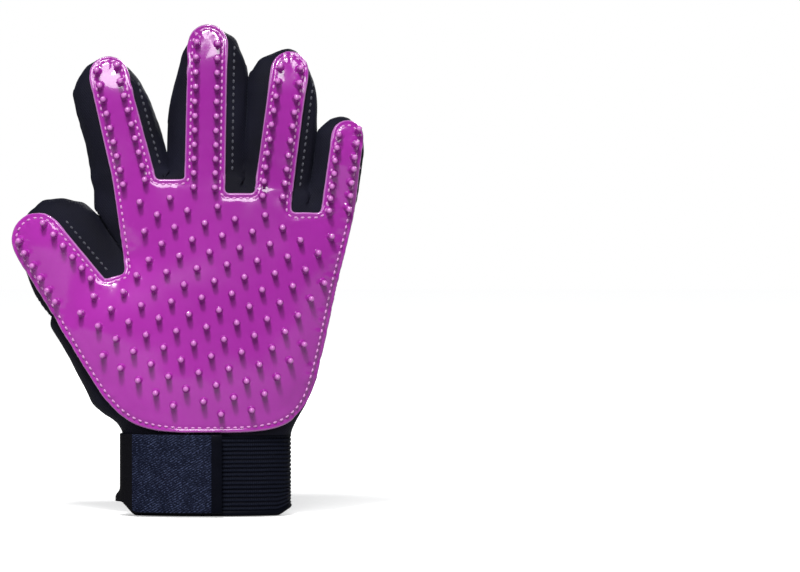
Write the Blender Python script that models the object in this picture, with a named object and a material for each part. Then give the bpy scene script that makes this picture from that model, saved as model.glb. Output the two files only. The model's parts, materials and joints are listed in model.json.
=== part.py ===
"""Pet grooming glove: a knit glove with a moulded rubber pad of pins and a hook-and-loop wrist strap.

The glove stands upright in its own frame. The fingers point up (+Z), the palm with its rubber pins
faces -Y, and the thumb points toward -X. The origin is the centre of the wrist opening, in the plane
of the cuff's hem. All sizes are in metres.

Every digit is two sleeve segments, each made of a palm-side panel, a back panel and a strip of the
rubber pad. The segments turn about creases that lie just in front of the pad, so the palm side folds
and the back opens.
"""

import math
from collections import namedtuple

import bmesh
import bpy
from mathutils import Matrix, Vector
from mathutils.geometry import delaunay_2d_cdt

# Thicknesses and gaps
FABRIC = 0.0014
SEAM_GAP = 0.0005
CREASE_GAP = 0.0003
PAD_THICKNESS = 0.0018
PAD_CLEARANCE = 0.0008

# Rubber pins
PIN_RADIUS = 0.0015
PIN_TIP_RADIUS = 0.0010
PIN_HEIGHT = 0.0055
PIN_EMBEDDED = 0.0009
PIN_SIDES = 6
PIN_EDGE_MARGIN = 0.0040
STRIP_ROW_OFFSET = 0.0049
PALM_PIN_STEP = 0.0105
PALM_PIN_ANGLE = math.radians(-34)
PALM_PIN_COUNT = 12
PALM_PIN_CENTRE = (0.0, 0.100)

# Wrist cuff
CUFF_HALF_WIDTH = 0.0402
CUFF_HALF_DEPTH = 0.0172
CUFF_WALL = 0.0020
HEM_HEIGHT = 0.0025
HEM_PROUD = 0.0005
HEM_WALL = 0.0030
CUFF_BOTTOM = 0.0028
CUFF_TOP = 0.0380
TAPE_BOTTOM = 0.0384
TAPE_TOP = 0.0399
PALM_BOTTOM = 0.0403
RING_STEPS = 32

# Wrist strap, as layers outward from the cuff's face
STRAP_BOTTOM = 0.0030
STRAP_TOP = 0.0376
LOOP_LAYER = (0.0004, 0.0014)
HOOK_LAYER = (0.0018, 0.0026)
TAB_LAYER = (0.0029, 0.0041)
BINDING_LAYER = (0.0026, 0.0046)
ANCHOR_LAYER = (0.0004, 0.0020)
TAB_ANGLES = (185.0, 273.6)
BINDING_ANGLES = (274.1, 280.5)
HOOK_ANGLES = (200.0, 272.5)
LOOP_ANGLES = (196.0, 279.0)
ANCHOR_ANGLES = (105.0, 176.0)
STRAP_STEPS = 10

# The hand's outline: (height, thumb-side edge, little-finger-side edge, half depth)
PALM_SECTIONS = (
    (PALM_BOTTOM, -0.0405, 0.0405, 0.0172),
    (0.0460, -0.0440, 0.0432, 0.0176),
    (0.0530, -0.0525, 0.0478, 0.0180),
    (0.0627, -0.0590, 0.0522, 0.0182),
    (0.0770, -0.0670, 0.0552, 0.0182),
    (0.0910, -0.0740, 0.0588, 0.0178),
    (0.1010, -0.0775, 0.0608, 0.0172),
    (0.1150, -0.0745, 0.0640, 0.0160),
    (0.1300, -0.0640, 0.0682, 0.0147),
    (0.1430, -0.0560, 0.0712, 0.0133),
    (0.1520, -0.0545, 0.0728, 0.0122),
    (0.1720, -0.0560, 0.0745, 0.0108),
)
PALM_ROUNDNESS = 2.6
PALM_COLUMNS = 16
SIDE_COLUMNS = 22
SIDE_REACH = 125.0

# One digit: lean is measured from vertical, and is positive toward the little finger. Its crease is
# the point (x, z) where the sleeve joins the hand, and bend is how far along the middle joint lies.
# hinge_depths are how far in front of the sleeve's centre the two joints' axes lie. Pad half widths
# and sideways shifts are given at the crease and at the tip.
Digit = namedtuple(
    "Digit",
    "name crease lean half_width half_depth length bend tip "
    "hinge_depths pad_half_widths pad_shifts pin_pitch",
)
DIGITS = (
    Digit("index", (-0.0378, 0.1630), -10.1, 0.0174, 0.0095, 0.0580, 0.0272, 0.0230,
          (0.0152, 0.0150), (0.0102, 0.0095), (0.0028, 0.0010), 0.0068),
    Digit("middle", (-0.0008, 0.1630), 1.3, 0.0174, 0.0098, 0.0720, 0.0340, 0.0230,
          (0.0164, 0.0152), (0.0098, 0.0095), (0.0002, 0.0000), 0.0068),
    Digit("ring", (0.0331, 0.1560), 5.0, 0.0158, 0.0094, 0.0686, 0.0340, 0.0210,
          (0.0164, 0.0148), (0.0092, 0.0088), (-0.0008, 0.0018), 0.0068),
    Digit("little", (0.0609, 0.1475), 8.0, 0.0117, 0.0084, 0.0440, 0.0204, 0.0150,
          (0.0144, 0.0138), (0.0080, 0.0074), (0.0022, 0.0018), 0.0068),
    Digit("thumb", (-0.0548, 0.1093), -34.0, 0.0204, 0.0112, 0.0482, 0.0213, 0.0200,
          (0.0172, 0.0168), (0.0152, 0.0128), (-0.0076, -0.0082), 0.0071),
)
STRAP_HINGE = (-0.0426, -0.0008, 0.0203)
# How far each block that opens the hand at a crease reaches to the thumb side and the other side.
CREASE_REACH = {
    "index": (0.0300, 0.0215),
    "middle": (0.0184, 0.0215),
    "ring": (0.0168, 0.0195),
    "little": (0.0127, 0.0300),
    "thumb": (0.0600, 0.0203),
}
CREASE_BLOCK_HEIGHT = 0.080
PAD_TIP_INSET = 0.0022
SLEEVE_TAPER = 0.08
SLEEVE_COLUMNS = 10
PAD_COLUMNS = 6
TIP_ANGLES = tuple(math.radians(a) for a in (22.5, 45.0, 67.5, 90.0))

# The palm pad's outline where it isn't set by the digits, as (x, z) running up the little-finger
# side and down the thumb side.
PAD_RIGHT_EDGE = (
    (0.0000, 0.0412), (0.0180, 0.0414), (0.0310, 0.0428), (0.0395, 0.0470), (0.0458, 0.0530),
    (0.0498, 0.0600), (0.0528, 0.0710), (0.0552, 0.0820), (0.0578, 0.0940), (0.0606, 0.1080),
    (0.0640, 0.1210), (0.0672, 0.1330),
)
PAD_LEFT_EDGE = (
    (-0.0688, 0.0885), (-0.0616, 0.0766), (-0.0545, 0.0650), (-0.0500, 0.0585), (-0.0440, 0.0520),
    (-0.0360, 0.0460), (-0.0240, 0.0422), (-0.0110, 0.0413),
)
INDEX_MIDDLE_WEB = 0.1612
MIDDLE_RING_WEB = 0.1545
RING_LITTLE_WEB = 0.1452
THUMB_INDEX_WEB = ((-0.0478, 0.1134), (-0.0385, 0.1163))
PAD_EDGE_STEP = 0.0065
# The hand's side panels and the pad's root pieces start at these lines, given as their top and
# bottom ends, (x, z). The pad's ends lie on its outline.
PANEL_CUTS = {"thumb": ((-0.0379, 0.1207), (-0.0340, 0.0400)), "little": ((0.0488, 0.1520), (0.0340, 0.0400))}
PAD_CUTS = {"thumb": ((-0.0432, 0.1149), (-0.0360, 0.0460)), "little": ((0.0485, 0.1452), (0.0310, 0.0428))}
PIN_CUT_MARGIN = 0.0021
PAD_GRID_ROWS = tuple(0.0500 + 0.0095 * row for row in range(12))
PAD_GRID_COLUMNS = (-0.90, -0.80, -0.64, -0.42, -0.2, 0.0, 0.2, 0.42, 0.64, 0.80, 0.90)
PAD_GRID_MARGIN = 0.0025


def clear_scene():
    for old in list(bpy.data.objects):
        bpy.data.objects.remove(old, do_unlink=True)


def make_material(name, color, roughness, metallic=0.0):
    material = bpy.data.materials.new(name)
    material.use_nodes = True
    shader = material.node_tree.nodes["Principled BSDF"]
    shader.inputs["Base Color"].default_value = (*color, 1.0)
    shader.inputs["Roughness"].default_value = roughness
    shader.inputs["Metallic"].default_value = metallic
    return material


def new_object(name, mesh, material):
    obj = bpy.data.objects.new(name, mesh)
    bpy.context.scene.collection.objects.link(obj)
    obj.data.materials.append(material)
    return obj


def face_out(bm):
    """Turns a closed mesh the right way out."""
    if bm.calc_volume(signed=True) < 0:
        bmesh.ops.reverse_faces(bm, faces=bm.faces)


def finish_mesh(bm, name, material):
    """Turns a bmesh into an object, with its faces pointing out and its round sides smooth."""
    bmesh.ops.recalc_face_normals(bm, faces=bm.faces)
    face_out(bm)
    mesh = bpy.data.meshes.new(name)
    bm.to_mesh(mesh)
    bm.free()
    mesh.shade_smooth()
    mesh.set_sharp_from_angle(angle=math.radians(40))
    return new_object(name, mesh, material)


def shell(name, outer, inner, material):
    """A closed wall between two equal grids of points. A row of one point closes the end in a pole."""
    bm = bmesh.new()
    skins = [[[bm.verts.new(p) for p in row] for row in grid] for grid in (outer, inner)]
    for grid in skins:
        for low, high in zip(grid, grid[1:]):
            span_rows(bm, low, high)
    pairs = list(zip(*skins))
    for low, high in zip(pairs, pairs[1:]):
        for side in (0, -1):
            bm.faces.new((low[0][side], high[0][side], high[1][side], low[1][side]))
    for outer_row, inner_row in (pairs[0], pairs[-1]):
        if len(outer_row) > 1:
            span_rows(bm, outer_row, inner_row)
    return finish_mesh(bm, name, material)


def span_rows(bm, low, high):
    """Faces between two rows of vertices, the second of which may be a single pole."""
    for i in range(len(low) - 1):
        if len(high) == 1:
            bm.faces.new((low[i], low[i + 1], high[0]))
        else:
            bm.faces.new((low[i], low[i + 1], high[i + 1], high[i]))


def ring_band(name, z_range, offsets, angles, steps, material):
    """A strip of the cuff's elliptical wall, between two offsets from the cuff's face."""
    closed = angles is None
    first, last = (0.0, 360.0) if closed else angles
    count = steps if closed else steps + 1
    turns = [math.radians(first + (last - first) * i / steps) for i in range(count)]
    bm = bmesh.new()

    def row(offset, z):
        half_width, half_depth = CUFF_HALF_WIDTH + offset, CUFF_HALF_DEPTH + offset
        return [bm.verts.new((half_width * math.cos(t), half_depth * math.sin(t), z)) for t in turns]

    corners = [row(offsets[0], z_range[0]), row(offsets[1], z_range[0]),
               row(offsets[1], z_range[1]), row(offsets[0], z_range[1])]
    for side in range(4):
        here, there = corners[side], corners[(side + 1) % 4]
        for i in range(count if closed else count - 1):
            j = (i + 1) % count
            bm.faces.new((here[i], here[j], there[j], there[i]))
    if not closed:
        bm.faces.new([line[0] for line in corners])
        bm.faces.new([line[-1] for line in corners])
    return finish_mesh(bm, name, material)


def directions(digit):
    """The digit's own axes in the plane of the hand: across it, and along it."""
    lean = math.radians(digit.lean)
    return Vector((math.cos(lean), 0.0, -math.sin(lean))), Vector((math.sin(lean), 0.0, math.cos(lean)))


def place(digit, across, depth, along):
    """A point given in the digit's own axes, in the glove's frame."""
    sideways, upward = directions(digit)
    base = Vector((digit.crease[0], 0.0, digit.crease[1]))
    return base + sideways * across + upward * along + Vector((0.0, depth, 0.0))


def sleeve_radii(digit, along, offset):
    """Half width and half depth of the sleeve, offset outward, with its rounded tip."""
    taper = 1.0 - SLEEVE_TAPER * along / digit.length
    reach = max(0.0, (along - (digit.length - digit.tip)) / (digit.tip + offset))
    rounding = math.sqrt(max(0.0, 1.0 - reach * reach))
    return (digit.half_width * taper + offset) * rounding, (digit.half_depth * taper + offset) * rounding


def sleeve_grid(digit, start, end, side, offset):
    """Rows of points on one half of a sleeve. An end of None closes it with the rounded tip."""
    straight_end = digit.length - digit.tip if end is None else end
    stations = [start, straight_end]
    if end is None:
        stations += [straight_end + (digit.tip + offset) * math.sin(a) for a in TIP_ANGLES]
    rows = []
    for along in stations:
        half_width, half_depth = sleeve_radii(digit, along, offset)
        if half_width < 1e-6:
            rows.append([place(digit, 0.0, side * SEAM_GAP / 2, along)])
            continue
        row = []
        for column in range(SLEEVE_COLUMNS + 1):
            turn = math.pi * column / SLEEVE_COLUMNS
            depth = SEAM_GAP / 2 + (half_depth - SEAM_GAP / 2) * math.sin(turn)
            row.append(place(digit, half_width * math.cos(turn), side * depth, along))
        rows.append(row)
    return rows


def sleeve_panel(name, digit, start, end, side, material):
    outer = sleeve_grid(digit, start, end, side, 0.0)
    inner = sleeve_grid(digit, start, end, side, -FABRIC)
    return shell(name, outer, inner, material)


def along_strip(pair, digit, along):
    """A value that runs evenly from a digit's crease to its tip."""
    share = along / digit.length
    return pair[0] * (1 - share) + pair[1] * share


def strip_centre(digit, along):
    """Sideways place of the pad strip's centre line."""
    return along_strip(digit.pad_shifts, digit, along)


def strip_half_width(digit, along):
    """Half width of the pad strip, with its round end."""
    round_end = digit.pad_half_widths[1]
    into_tip = max(0.0, along - (digit.length - PAD_TIP_INSET - round_end))
    rounding = math.sqrt(max(0.0, 1.0 - (into_tip / round_end) ** 2))
    return along_strip(digit.pad_half_widths, digit, along) * rounding


def sleeve_face(digit, across, along, offset):
    """Depth of the sleeve's palm side, offset outward."""
    half_width, half_depth = sleeve_radii(digit, along, offset)
    if half_width < 1e-6:
        return 0.0
    return -half_depth * math.sqrt(max(0.05, 1.0 - (across / half_width) ** 2))


def strip_grid(digit, start, end, offset):
    """Rows of points on one face of a pad strip. An end of None closes it with the rounded tip."""
    round_end = digit.pad_half_widths[1]
    tip_centre = digit.length - PAD_TIP_INSET - round_end
    straight_end = tip_centre if end is None else end
    stations = [start, (start + straight_end) / 2, straight_end]
    if end is None:
        stations += [tip_centre + round_end * math.sin(a) for a in TIP_ANGLES]
    rows = []
    for along in stations:
        centre, half_width = strip_centre(digit, along), strip_half_width(digit, along)
        columns = PAD_COLUMNS if half_width > 1e-6 else 0
        row = []
        for column in range(columns + 1):
            across = centre + half_width * (2 * column / columns - 1 if columns else 0)
            row.append(place(digit, across, sleeve_face(digit, across, along, offset), along))
        rows.append(row)
    return rows


def pin_mesh(points):
    """A tapered pin on each point of a pad's outer face, standing toward -Y."""
    bm = bmesh.new()
    height = PIN_HEIGHT + PIN_EMBEDDED
    for point in points:
        centre = point + Vector((0.0, PIN_EMBEDDED - height / 2, 0.0))
        upright = Matrix.Translation(centre) @ Matrix.Rotation(math.pi / 2, 4, "X")
        bmesh.ops.create_cone(bm, cap_ends=True, segments=PIN_SIDES, radius1=PIN_RADIUS,
                              radius2=PIN_TIP_RADIUS, depth=height, matrix=upright)
    bmesh.ops.recalc_face_normals(bm, faces=bm.faces)
    mesh = bpy.data.meshes.new("pins")
    bm.to_mesh(mesh)
    bm.free()
    return mesh


def add_pins(pad, points, material):
    """Joins the pins to their pad with a Boolean union."""
    cutter = new_object(pad.name + "_pins", pin_mesh(points), material)
    cutter.hide_render = True
    cutter.display_type = "WIRE"
    union = pad.modifiers.new("pins", "BOOLEAN")
    union.operation = "UNION"
    union.object = cutter
    union.solver = "EXACT"


def strip_pins(digit, start, end):
    """Points of the two rows of pins on a strip, half a pitch clear of each crease."""
    stop = digit.length - PAD_TIP_INSET - PIN_EDGE_MARGIN if end is None else end
    offset = PAD_CLEARANCE + PAD_THICKNESS
    points = []
    rows = int(digit.length / digit.pin_pitch) + 1
    for row in range(rows):
        along = digit.pin_pitch * (row + 0.5)
        if not start < along < stop:
            continue
        sideways = min(strip_half_width(digit, along) / 2, STRIP_ROW_OFFSET)
        for side in (-1, 1):
            across = strip_centre(digit, along) + side * sideways
            points.append(place(digit, across, sleeve_face(digit, across, along, offset), along))
    return points


def pad_strip(name, digit, start, end, material):
    inner = strip_grid(digit, start, end, PAD_CLEARANCE)
    outer = strip_grid(digit, start, end, PAD_CLEARANCE + PAD_THICKNESS)
    pad = shell(name, outer, inner, material)
    add_pins(pad, strip_pins(digit, start, end), material)
    return pad


def palm_section(z):
    """Thumb-side edge, little-finger-side edge and half depth of the hand at a height."""
    for low, high in zip(PALM_SECTIONS, PALM_SECTIONS[1:]):
        if z <= high[0] or high is PALM_SECTIONS[-1]:
            share = (z - low[0]) / (high[0] - low[0])
            return [a + (b - a) * share for a, b in zip(low[1:], high[1:])]


def palm_face(x, z, offset):
    """Depth of the hand's palm side, offset outward."""
    left, right, half_depth = palm_section(z)
    across = (x - (left + right) / 2) / ((right - left) / 2 + offset)
    fullness = max(0.02, 1.0 - abs(across) ** PALM_ROUNDNESS)
    return -(half_depth + offset) * fullness ** (1 / PALM_ROUNDNESS)


def palm_grid(side, offset):
    """Rows of points on one half of the hand's shell."""
    power = 2 / PALM_ROUNDNESS
    rows = []
    for z, left, right, half_depth in PALM_SECTIONS:
        centre, half_width = (left + right) / 2, (right - left) / 2 + offset
        row = []
        for column in range(PALM_COLUMNS + 1):
            turn = math.pi * column / PALM_COLUMNS
            x = centre + half_width * math.copysign(abs(math.cos(turn)) ** power, math.cos(turn))
            depth = SEAM_GAP / 2 + (half_depth + offset - SEAM_GAP / 2) * math.sin(turn) ** power
            row.append((x, side * depth, z))
        rows.append(row)
    return rows


def digit_clearance(digit):
    """A block over everything beyond a digit's crease, which cuts the hand's shell open there."""
    low, high = CREASE_REACH[digit.name]
    bm = bmesh.new()
    bmesh.ops.create_cube(bm, size=1.0)
    for vert in bm.verts:
        across = high if vert.co.x > 0 else -low
        along = CREASE_BLOCK_HEIGHT if vert.co.z > 0 else -CREASE_GAP
        vert.co = place(digit, across, 0.100 * vert.co.y, along)
    return cutter_object(digit.name + "_clearance", bm)


def side_grid(side, offset):
    """Rows of points round one edge of the hand, from its palm side to its back."""
    power = 2 / PALM_ROUNDNESS
    turns = [math.radians(SIDE_REACH * (2 * column / SIDE_COLUMNS - 1)) for column in range(SIDE_COLUMNS + 1)]
    rows = []
    for z, left, right, half_depth in PALM_SECTIONS:
        centre, half_width = (left + right) / 2, (right - left) / 2 + offset
        row = []
        for turn in turns:
            across, deep = math.cos(turn), math.sin(turn)
            x = centre + side * half_width * math.copysign(abs(across) ** power, across)
            row.append((x, (half_depth + offset) * math.copysign(abs(deep) ** power, deep), z))
        rows.append(row)
    return rows


def beside_cut(name, side, keeps_side):
    """A block over the hand on one side of a panel cut. It leaves a gap, and stops at the cut's top
    where it clears the thumb's side out of the middle panels."""
    (top_x, top_z), (bottom_x, bottom_z) = PANEL_CUTS[name]
    along = Vector((top_x - bottom_x, 0.0, top_z - bottom_z)).normalized()
    across = Vector((along.z, 0.0, -along.x)) * side
    start = Vector((bottom_x, 0.0, bottom_z))
    reach = (top_z - bottom_z) / along.z + (CREASE_BLOCK_HEIGHT if keeps_side or name == "little" else 0.0)
    bm = bmesh.new()
    bmesh.ops.create_cube(bm, size=1.0)
    for vert in bm.verts:
        outward = 0.120 if vert.co.x > 0 else -CREASE_GAP
        if keeps_side:
            outward = -0.160 if vert.co.x > 0 else CREASE_GAP
        upward = reach if vert.co.z > 0 else -0.020
        vert.co = start + across * outward + along * upward + Vector((0.0, 0.100 * vert.co.y, 0.0))
    return cutter_object(f"{name}_{'inside' if keeps_side else 'outside'}", bm)


def above_cut(name):
    """A block over everything above a panel cut's top."""
    bm = bmesh.new()
    bmesh.ops.create_cube(bm, size=1.0)
    top = PANEL_CUTS[name][0][1]
    for vert in bm.verts:
        vert.co = (0.300 * vert.co.x, 0.100 * vert.co.y, top + (CREASE_BLOCK_HEIGHT if vert.co.z > 0 else 0.0))
    return cutter_object(name + "_above", bm)


def cutter_object(name, bm):
    """A hidden object for a Boolean to cut with."""
    face_out(bm)
    mesh = bpy.data.meshes.new(name)
    bm.to_mesh(mesh)
    bm.free()
    cutter = bpy.data.objects.new(name, mesh)
    bpy.context.scene.collection.objects.link(cutter)
    cutter.hide_render = True
    cutter.display_type = "WIRE"
    return cutter


def hand_panel(name, grid, side, cutters, material):
    panel = shell(name, grid(side, 0.0), grid(side, -FABRIC), material)
    for cutter in cutters:
        cut = panel.modifiers.new(cutter.name, "BOOLEAN")
        cut.operation = "DIFFERENCE"
        cut.object = cutter
        cut.solver = "EXACT"
    return panel


def strip_corner(digit, side):
    """Where one edge of a digit's pad strip meets its crease, as (x, z) on the palm pad."""
    corner = place(digit, digit.pad_shifts[0] + side * digit.pad_half_widths[0], 0.0, -CREASE_GAP)
    return corner.x, corner.z


def strip_edge_at(digit, side, z):
    """The point at a height on one edge of a strip, carried straight down below its crease."""
    slope = math.tan(math.radians(digit.lean))
    x, crease_z = strip_corner(digit, side)
    return x + slope * (z - crease_z), z


def palm_pad_outline():
    """The pad's outline: up the little-finger side, across the finger roots and down the thumb side."""
    index, middle, ring, little, thumb = DIGITS
    outline = list(PAD_RIGHT_EDGE)
    outline += [strip_corner(little, 1), strip_corner(little, -1)]
    outline += [strip_edge_at(little, -1, RING_LITTLE_WEB), strip_edge_at(ring, 1, RING_LITTLE_WEB)]
    outline += [strip_corner(ring, 1), strip_corner(ring, -1)]
    outline += [strip_edge_at(ring, -1, MIDDLE_RING_WEB), strip_edge_at(middle, 1, MIDDLE_RING_WEB)]
    outline += [strip_corner(middle, 1), strip_corner(middle, -1)]
    outline += [strip_edge_at(middle, -1, INDEX_MIDDLE_WEB), strip_edge_at(index, 1, INDEX_MIDDLE_WEB)]
    outline += [strip_corner(index, 1), strip_corner(index, -1)]
    outline += list(reversed(THUMB_INDEX_WEB))
    outline += [strip_corner(thumb, -1)]
    outline += list(PAD_LEFT_EDGE)
    return outline


def pad_cut(name, gap):
    """A pad cut's two ends, from the top down, moved toward the middle of the palm by a gap."""
    inward = gap if name == "thumb" else -gap
    return [(x + inward, z) for x, z in PAD_CUTS[name]]


def pad_outlines():
    """The whole outline split at the pad's two cuts, as one outline for each piece."""
    whole = palm_pad_outline()
    thumb_web = whole.index(THUMB_INDEX_WEB[1])
    little_web = whole.index(strip_edge_at(DIGITS[3], -1, RING_LITTLE_WEB))
    right_cut = whole.index(PAD_CUTS["little"][1])
    left_cut = whole.index(PAD_CUTS["thumb"][1])
    little = pad_cut("little", -CREASE_GAP)
    thumb = pad_cut("thumb", -CREASE_GAP)
    middle_right, middle_left = pad_cut("little", CREASE_GAP), pad_cut("thumb", CREASE_GAP)
    return {
        "little_root_pad": [little[1]] + whole[right_cut + 1:little_web + 1] + [little[0]],
        "palm_pad": whole[:right_cut] + middle_right[::-1] + whole[little_web + 1:thumb_web + 1]
        + middle_left + whole[left_cut + 1:],
        "thumb_root_pad": [thumb[0]] + whole[thumb_web + 1:left_cut] + [thumb[1]],
    }


def subdivided(outline):
    """The outline with points added along its longer edges."""
    points = []
    for a, b in zip(outline, outline[1:] + outline[:1]):
        count = math.ceil(math.dist(a, b) / PAD_EDGE_STEP)
        points += [(a[0] + (b[0] - a[0]) * i / count, a[1] + (b[1] - a[1]) * i / count) for i in range(count)]
    return points


def distance_to_outline(x, z, outline):
    """Shortest distance to the outline, negative outside it."""
    inside, nearest, here = False, 1.0, Vector((x, z))
    for a, b in zip(outline, outline[1:] + outline[:1]):
        start, run = Vector(a), Vector(b) - Vector(a)
        share = max(0.0, min(1.0, (here - start).dot(run) / run.length_squared))
        nearest = min(nearest, (here - start - run * share).length)
        if (a[1] > z) != (b[1] > z) and x < a[0] + (z - a[1]) / (b[1] - a[1]) * (b[0] - a[0]):
            inside = not inside
    return nearest if inside else -nearest


def palm_pad(name, outline, pins, material):
    """A piece of the pad over the palm: its outline filled with a mesh that is laid over the hand."""
    outline = subdivided(outline)
    points = list(outline)
    for z in PAD_GRID_ROWS:
        left, right, _ = palm_section(z)
        for across in PAD_GRID_COLUMNS:
            x = (left + right) / 2 + across * (right - left) / 2
            if distance_to_outline(x, z, outline) > PAD_GRID_MARGIN:
                points.append((x, z))
    boundary = list(range(len(outline)))
    flat, _, faces, _, _, _ = delaunay_2d_cdt([Vector(p) for p in points], [], [boundary], 1, 1e-6)
    bm = bmesh.new()
    layers = []
    for offset in (PAD_CLEARANCE + PAD_THICKNESS, PAD_CLEARANCE):
        layers.append([bm.verts.new((p.x, palm_face(p.x, p.y, offset), p.y)) for p in flat])
    for layer in layers:
        for face in faces:
            bm.faces.new([layer[i] for i in face])
    edges = [edge for edge in bm.edges if edge.is_boundary]
    twin = dict(zip(layers[0], layers[1]))
    for edge in edges:
        a, b = edge.verts
        if a in twin:
            bm.faces.new((a, b, twin[b], twin[a]))
    bmesh.ops.delete(bm, geom=[v for v in bm.verts if not v.link_faces], context="VERTS")
    pad = finish_mesh(bm, name, material)
    add_pins(pad, pins, material)
    return pad


def beyond_cut(name, spot):
    """How far a spot on the palm lies to the outer side of a pad cut, and the way out."""
    top, bottom = (Vector(end) for end in PAD_CUTS[name])
    run = (top - bottom).normalized()
    outward = Vector((run.y, -run.x)) * (-1 if name == "thumb" else 1)
    return (spot - bottom).dot(outward), outward


def palm_pins():
    """A slanting square lattice of pins, kept inside the pad's edge and clear of its cuts, as a list
    of points for each piece of the pad."""
    outline = palm_pad_outline()
    step = Vector((math.cos(PALM_PIN_ANGLE), math.sin(PALM_PIN_ANGLE))) * PALM_PIN_STEP
    cross_step = Vector((-step.y, step.x))
    points = {"palm_pad": [], "thumb_root_pad": [], "little_root_pad": []}
    for i in range(-PALM_PIN_COUNT, PALM_PIN_COUNT + 1):
        for j in range(-PALM_PIN_COUNT, PALM_PIN_COUNT + 1):
            spot = Vector(PALM_PIN_CENTRE) + step * i + cross_step * j
            if distance_to_outline(spot.x, spot.y, outline) <= PIN_EDGE_MARGIN:
                continue
            piece = "palm_pad"
            for name in PAD_CUTS:
                reach, outward = beyond_cut(name, spot)
                if reach > 0:
                    piece = name + "_root_pad"
                if abs(reach) < PIN_CUT_MARGIN:
                    spot += outward * (math.copysign(PIN_CUT_MARGIN, reach) - reach)
            depth = palm_face(spot.x, spot.y, PAD_CLEARANCE + PAD_THICKNESS)
            points[piece].append(Vector((spot.x, depth, spot.y)))
    return points


def hinge(name, position, axis, parent=None):
    """An empty on a joint's axis, with its own X along the axis. What moves with the joint is its child."""
    empty = bpy.data.objects.new(name, None)
    bpy.context.scene.collection.objects.link(empty)
    empty.matrix_world = Matrix.Translation(position) @ axis.to_track_quat("X", "Z").to_matrix().to_4x4()
    if parent:
        attach(empty, parent)
    return empty


def attach(obj, empty):
    """Parents an object to an empty and leaves it where it is."""
    bpy.context.view_layer.update()
    world = obj.matrix_world.copy()
    obj.parent = empty
    obj.matrix_parent_inverse = empty.matrix_world.inverted()
    obj.matrix_world = world


def build_digit(digit, fabric, rubber):
    sideways, _ = directions(digit)
    knuckle = hinge(digit.name + "_knuckle", place(digit, 0.0, -digit.hinge_depths[0], 0.0), sideways)
    bend_place = place(digit, 0.0, -digit.hinge_depths[1], digit.bend)
    middle = hinge(digit.name + "_middle_joint", bend_place, sideways, knuckle)
    segments = (
        ("lower", CREASE_GAP, digit.bend - CREASE_GAP, knuckle),
        ("tip", digit.bend + CREASE_GAP, None, middle),
    )
    for segment, start, end, joint in segments:
        label = f"{digit.name}_{segment}"
        attach(sleeve_panel(label + "_palm_panel", digit, start, end, -1, fabric), joint)
        attach(sleeve_panel(label + "_back_panel", digit, start, end, 1, fabric), joint)
        attach(pad_strip(label + "_pad", digit, start, end, rubber), joint)


def build_hand(fabric, rubber):
    creases = {digit.name: digit_clearance(digit) for digit in DIGITS}
    middle = [*creases.values(), beside_cut("thumb", -1, False), beside_cut("little", 1, False)]
    hand_panel("palm_panel", palm_grid, -1, middle, fabric)
    hand_panel("back_panel", palm_grid, 1, middle, fabric)
    thumb_side = [beside_cut("thumb", -1, True), above_cut("thumb"), creases["thumb"]]
    hand_panel("thumb_side_panel", side_grid, -1, thumb_side, fabric)
    little_side = [beside_cut("little", 1, True), above_cut("little"), creases["little"]]
    hand_panel("little_side_panel", side_grid, 1, little_side, fabric)
    pins = palm_pins()
    for name, outline in pad_outlines().items():
        palm_pad(name, outline, pins[name], rubber)


def build_cuff(elastic, binding, pile):
    wall, hem = (-CUFF_WALL, 0.0), (HEM_PROUD - HEM_WALL, HEM_PROUD)
    height = (STRAP_BOTTOM, STRAP_TOP)
    ring_band("cuff_band", (CUFF_BOTTOM, CUFF_TOP), wall, None, RING_STEPS, elastic)
    ring_band("cuff_hem_binding", (0.0, HEM_HEIGHT), hem, None, RING_STEPS, binding)
    ring_band("wrist_seam_tape", (TAPE_BOTTOM, TAPE_TOP), wall, None, RING_STEPS, binding)
    ring_band("loop_patch", height, LOOP_LAYER, LOOP_ANGLES, STRAP_STEPS, pile)
    ring_band("strap_anchor", height, ANCHOR_LAYER, ANCHOR_ANGLES, STRAP_STEPS, pile)


def build_strap(webbing, hooks, binding):
    height = (STRAP_BOTTOM, STRAP_TOP)
    joint = hinge("strap_hinge", Vector(STRAP_HINGE), Vector((0.0, 0.0, -1.0)))
    attach(ring_band("strap_tab", height, TAB_LAYER, TAB_ANGLES, STRAP_STEPS, webbing), joint)
    attach(ring_band("hook_field", height, HOOK_LAYER, HOOK_ANGLES, STRAP_STEPS, hooks), joint)
    attach(ring_band("tab_end_binding", height, BINDING_LAYER, BINDING_ANGLES, 2, binding), joint)


def build_glove():
    clear_scene()
    fabric = make_material("black_knit", (0.011, 0.012, 0.020), 0.85)
    rubber = make_material("magenta_rubber", (0.42, 0.035, 0.40), 0.28)
    elastic = make_material("ribbed_elastic", (0.006, 0.007, 0.012), 0.75)
    webbing = make_material("strap_webbing", (0.016, 0.018, 0.042), 0.8)
    hooks = make_material("hook_tape", (0.010, 0.010, 0.014), 0.6)
    pile = make_material("loop_pile", (0.012, 0.012, 0.018), 0.95)
    binding = make_material("edge_binding", (0.006, 0.006, 0.010), 0.7)
    build_hand(fabric, rubber)
    for digit in DIGITS:
        build_digit(digit, fabric, rubber)
    build_cuff(elastic, binding, pile)
    build_strap(webbing, hooks, binding)


build_glove()
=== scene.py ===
"""Looks of the pet grooming glove.

The knit is one skin that is lofted round the CAD's hand and digits, remeshed, creased with folds and
then split where the digits bend. The rubber pad is a flat outline laid over that skin, with its rim,
sewing groove, pins and stitches. The cuff and its strap are bands on the wrist's ellipse.
"""

import json
import math
from collections import namedtuple

import bmesh
import bpy
import numpy as np
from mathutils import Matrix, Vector, noise
from mathutils.bvhtree import BVHTree
from mathutils.geometry import delaunay_2d_cdt


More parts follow.
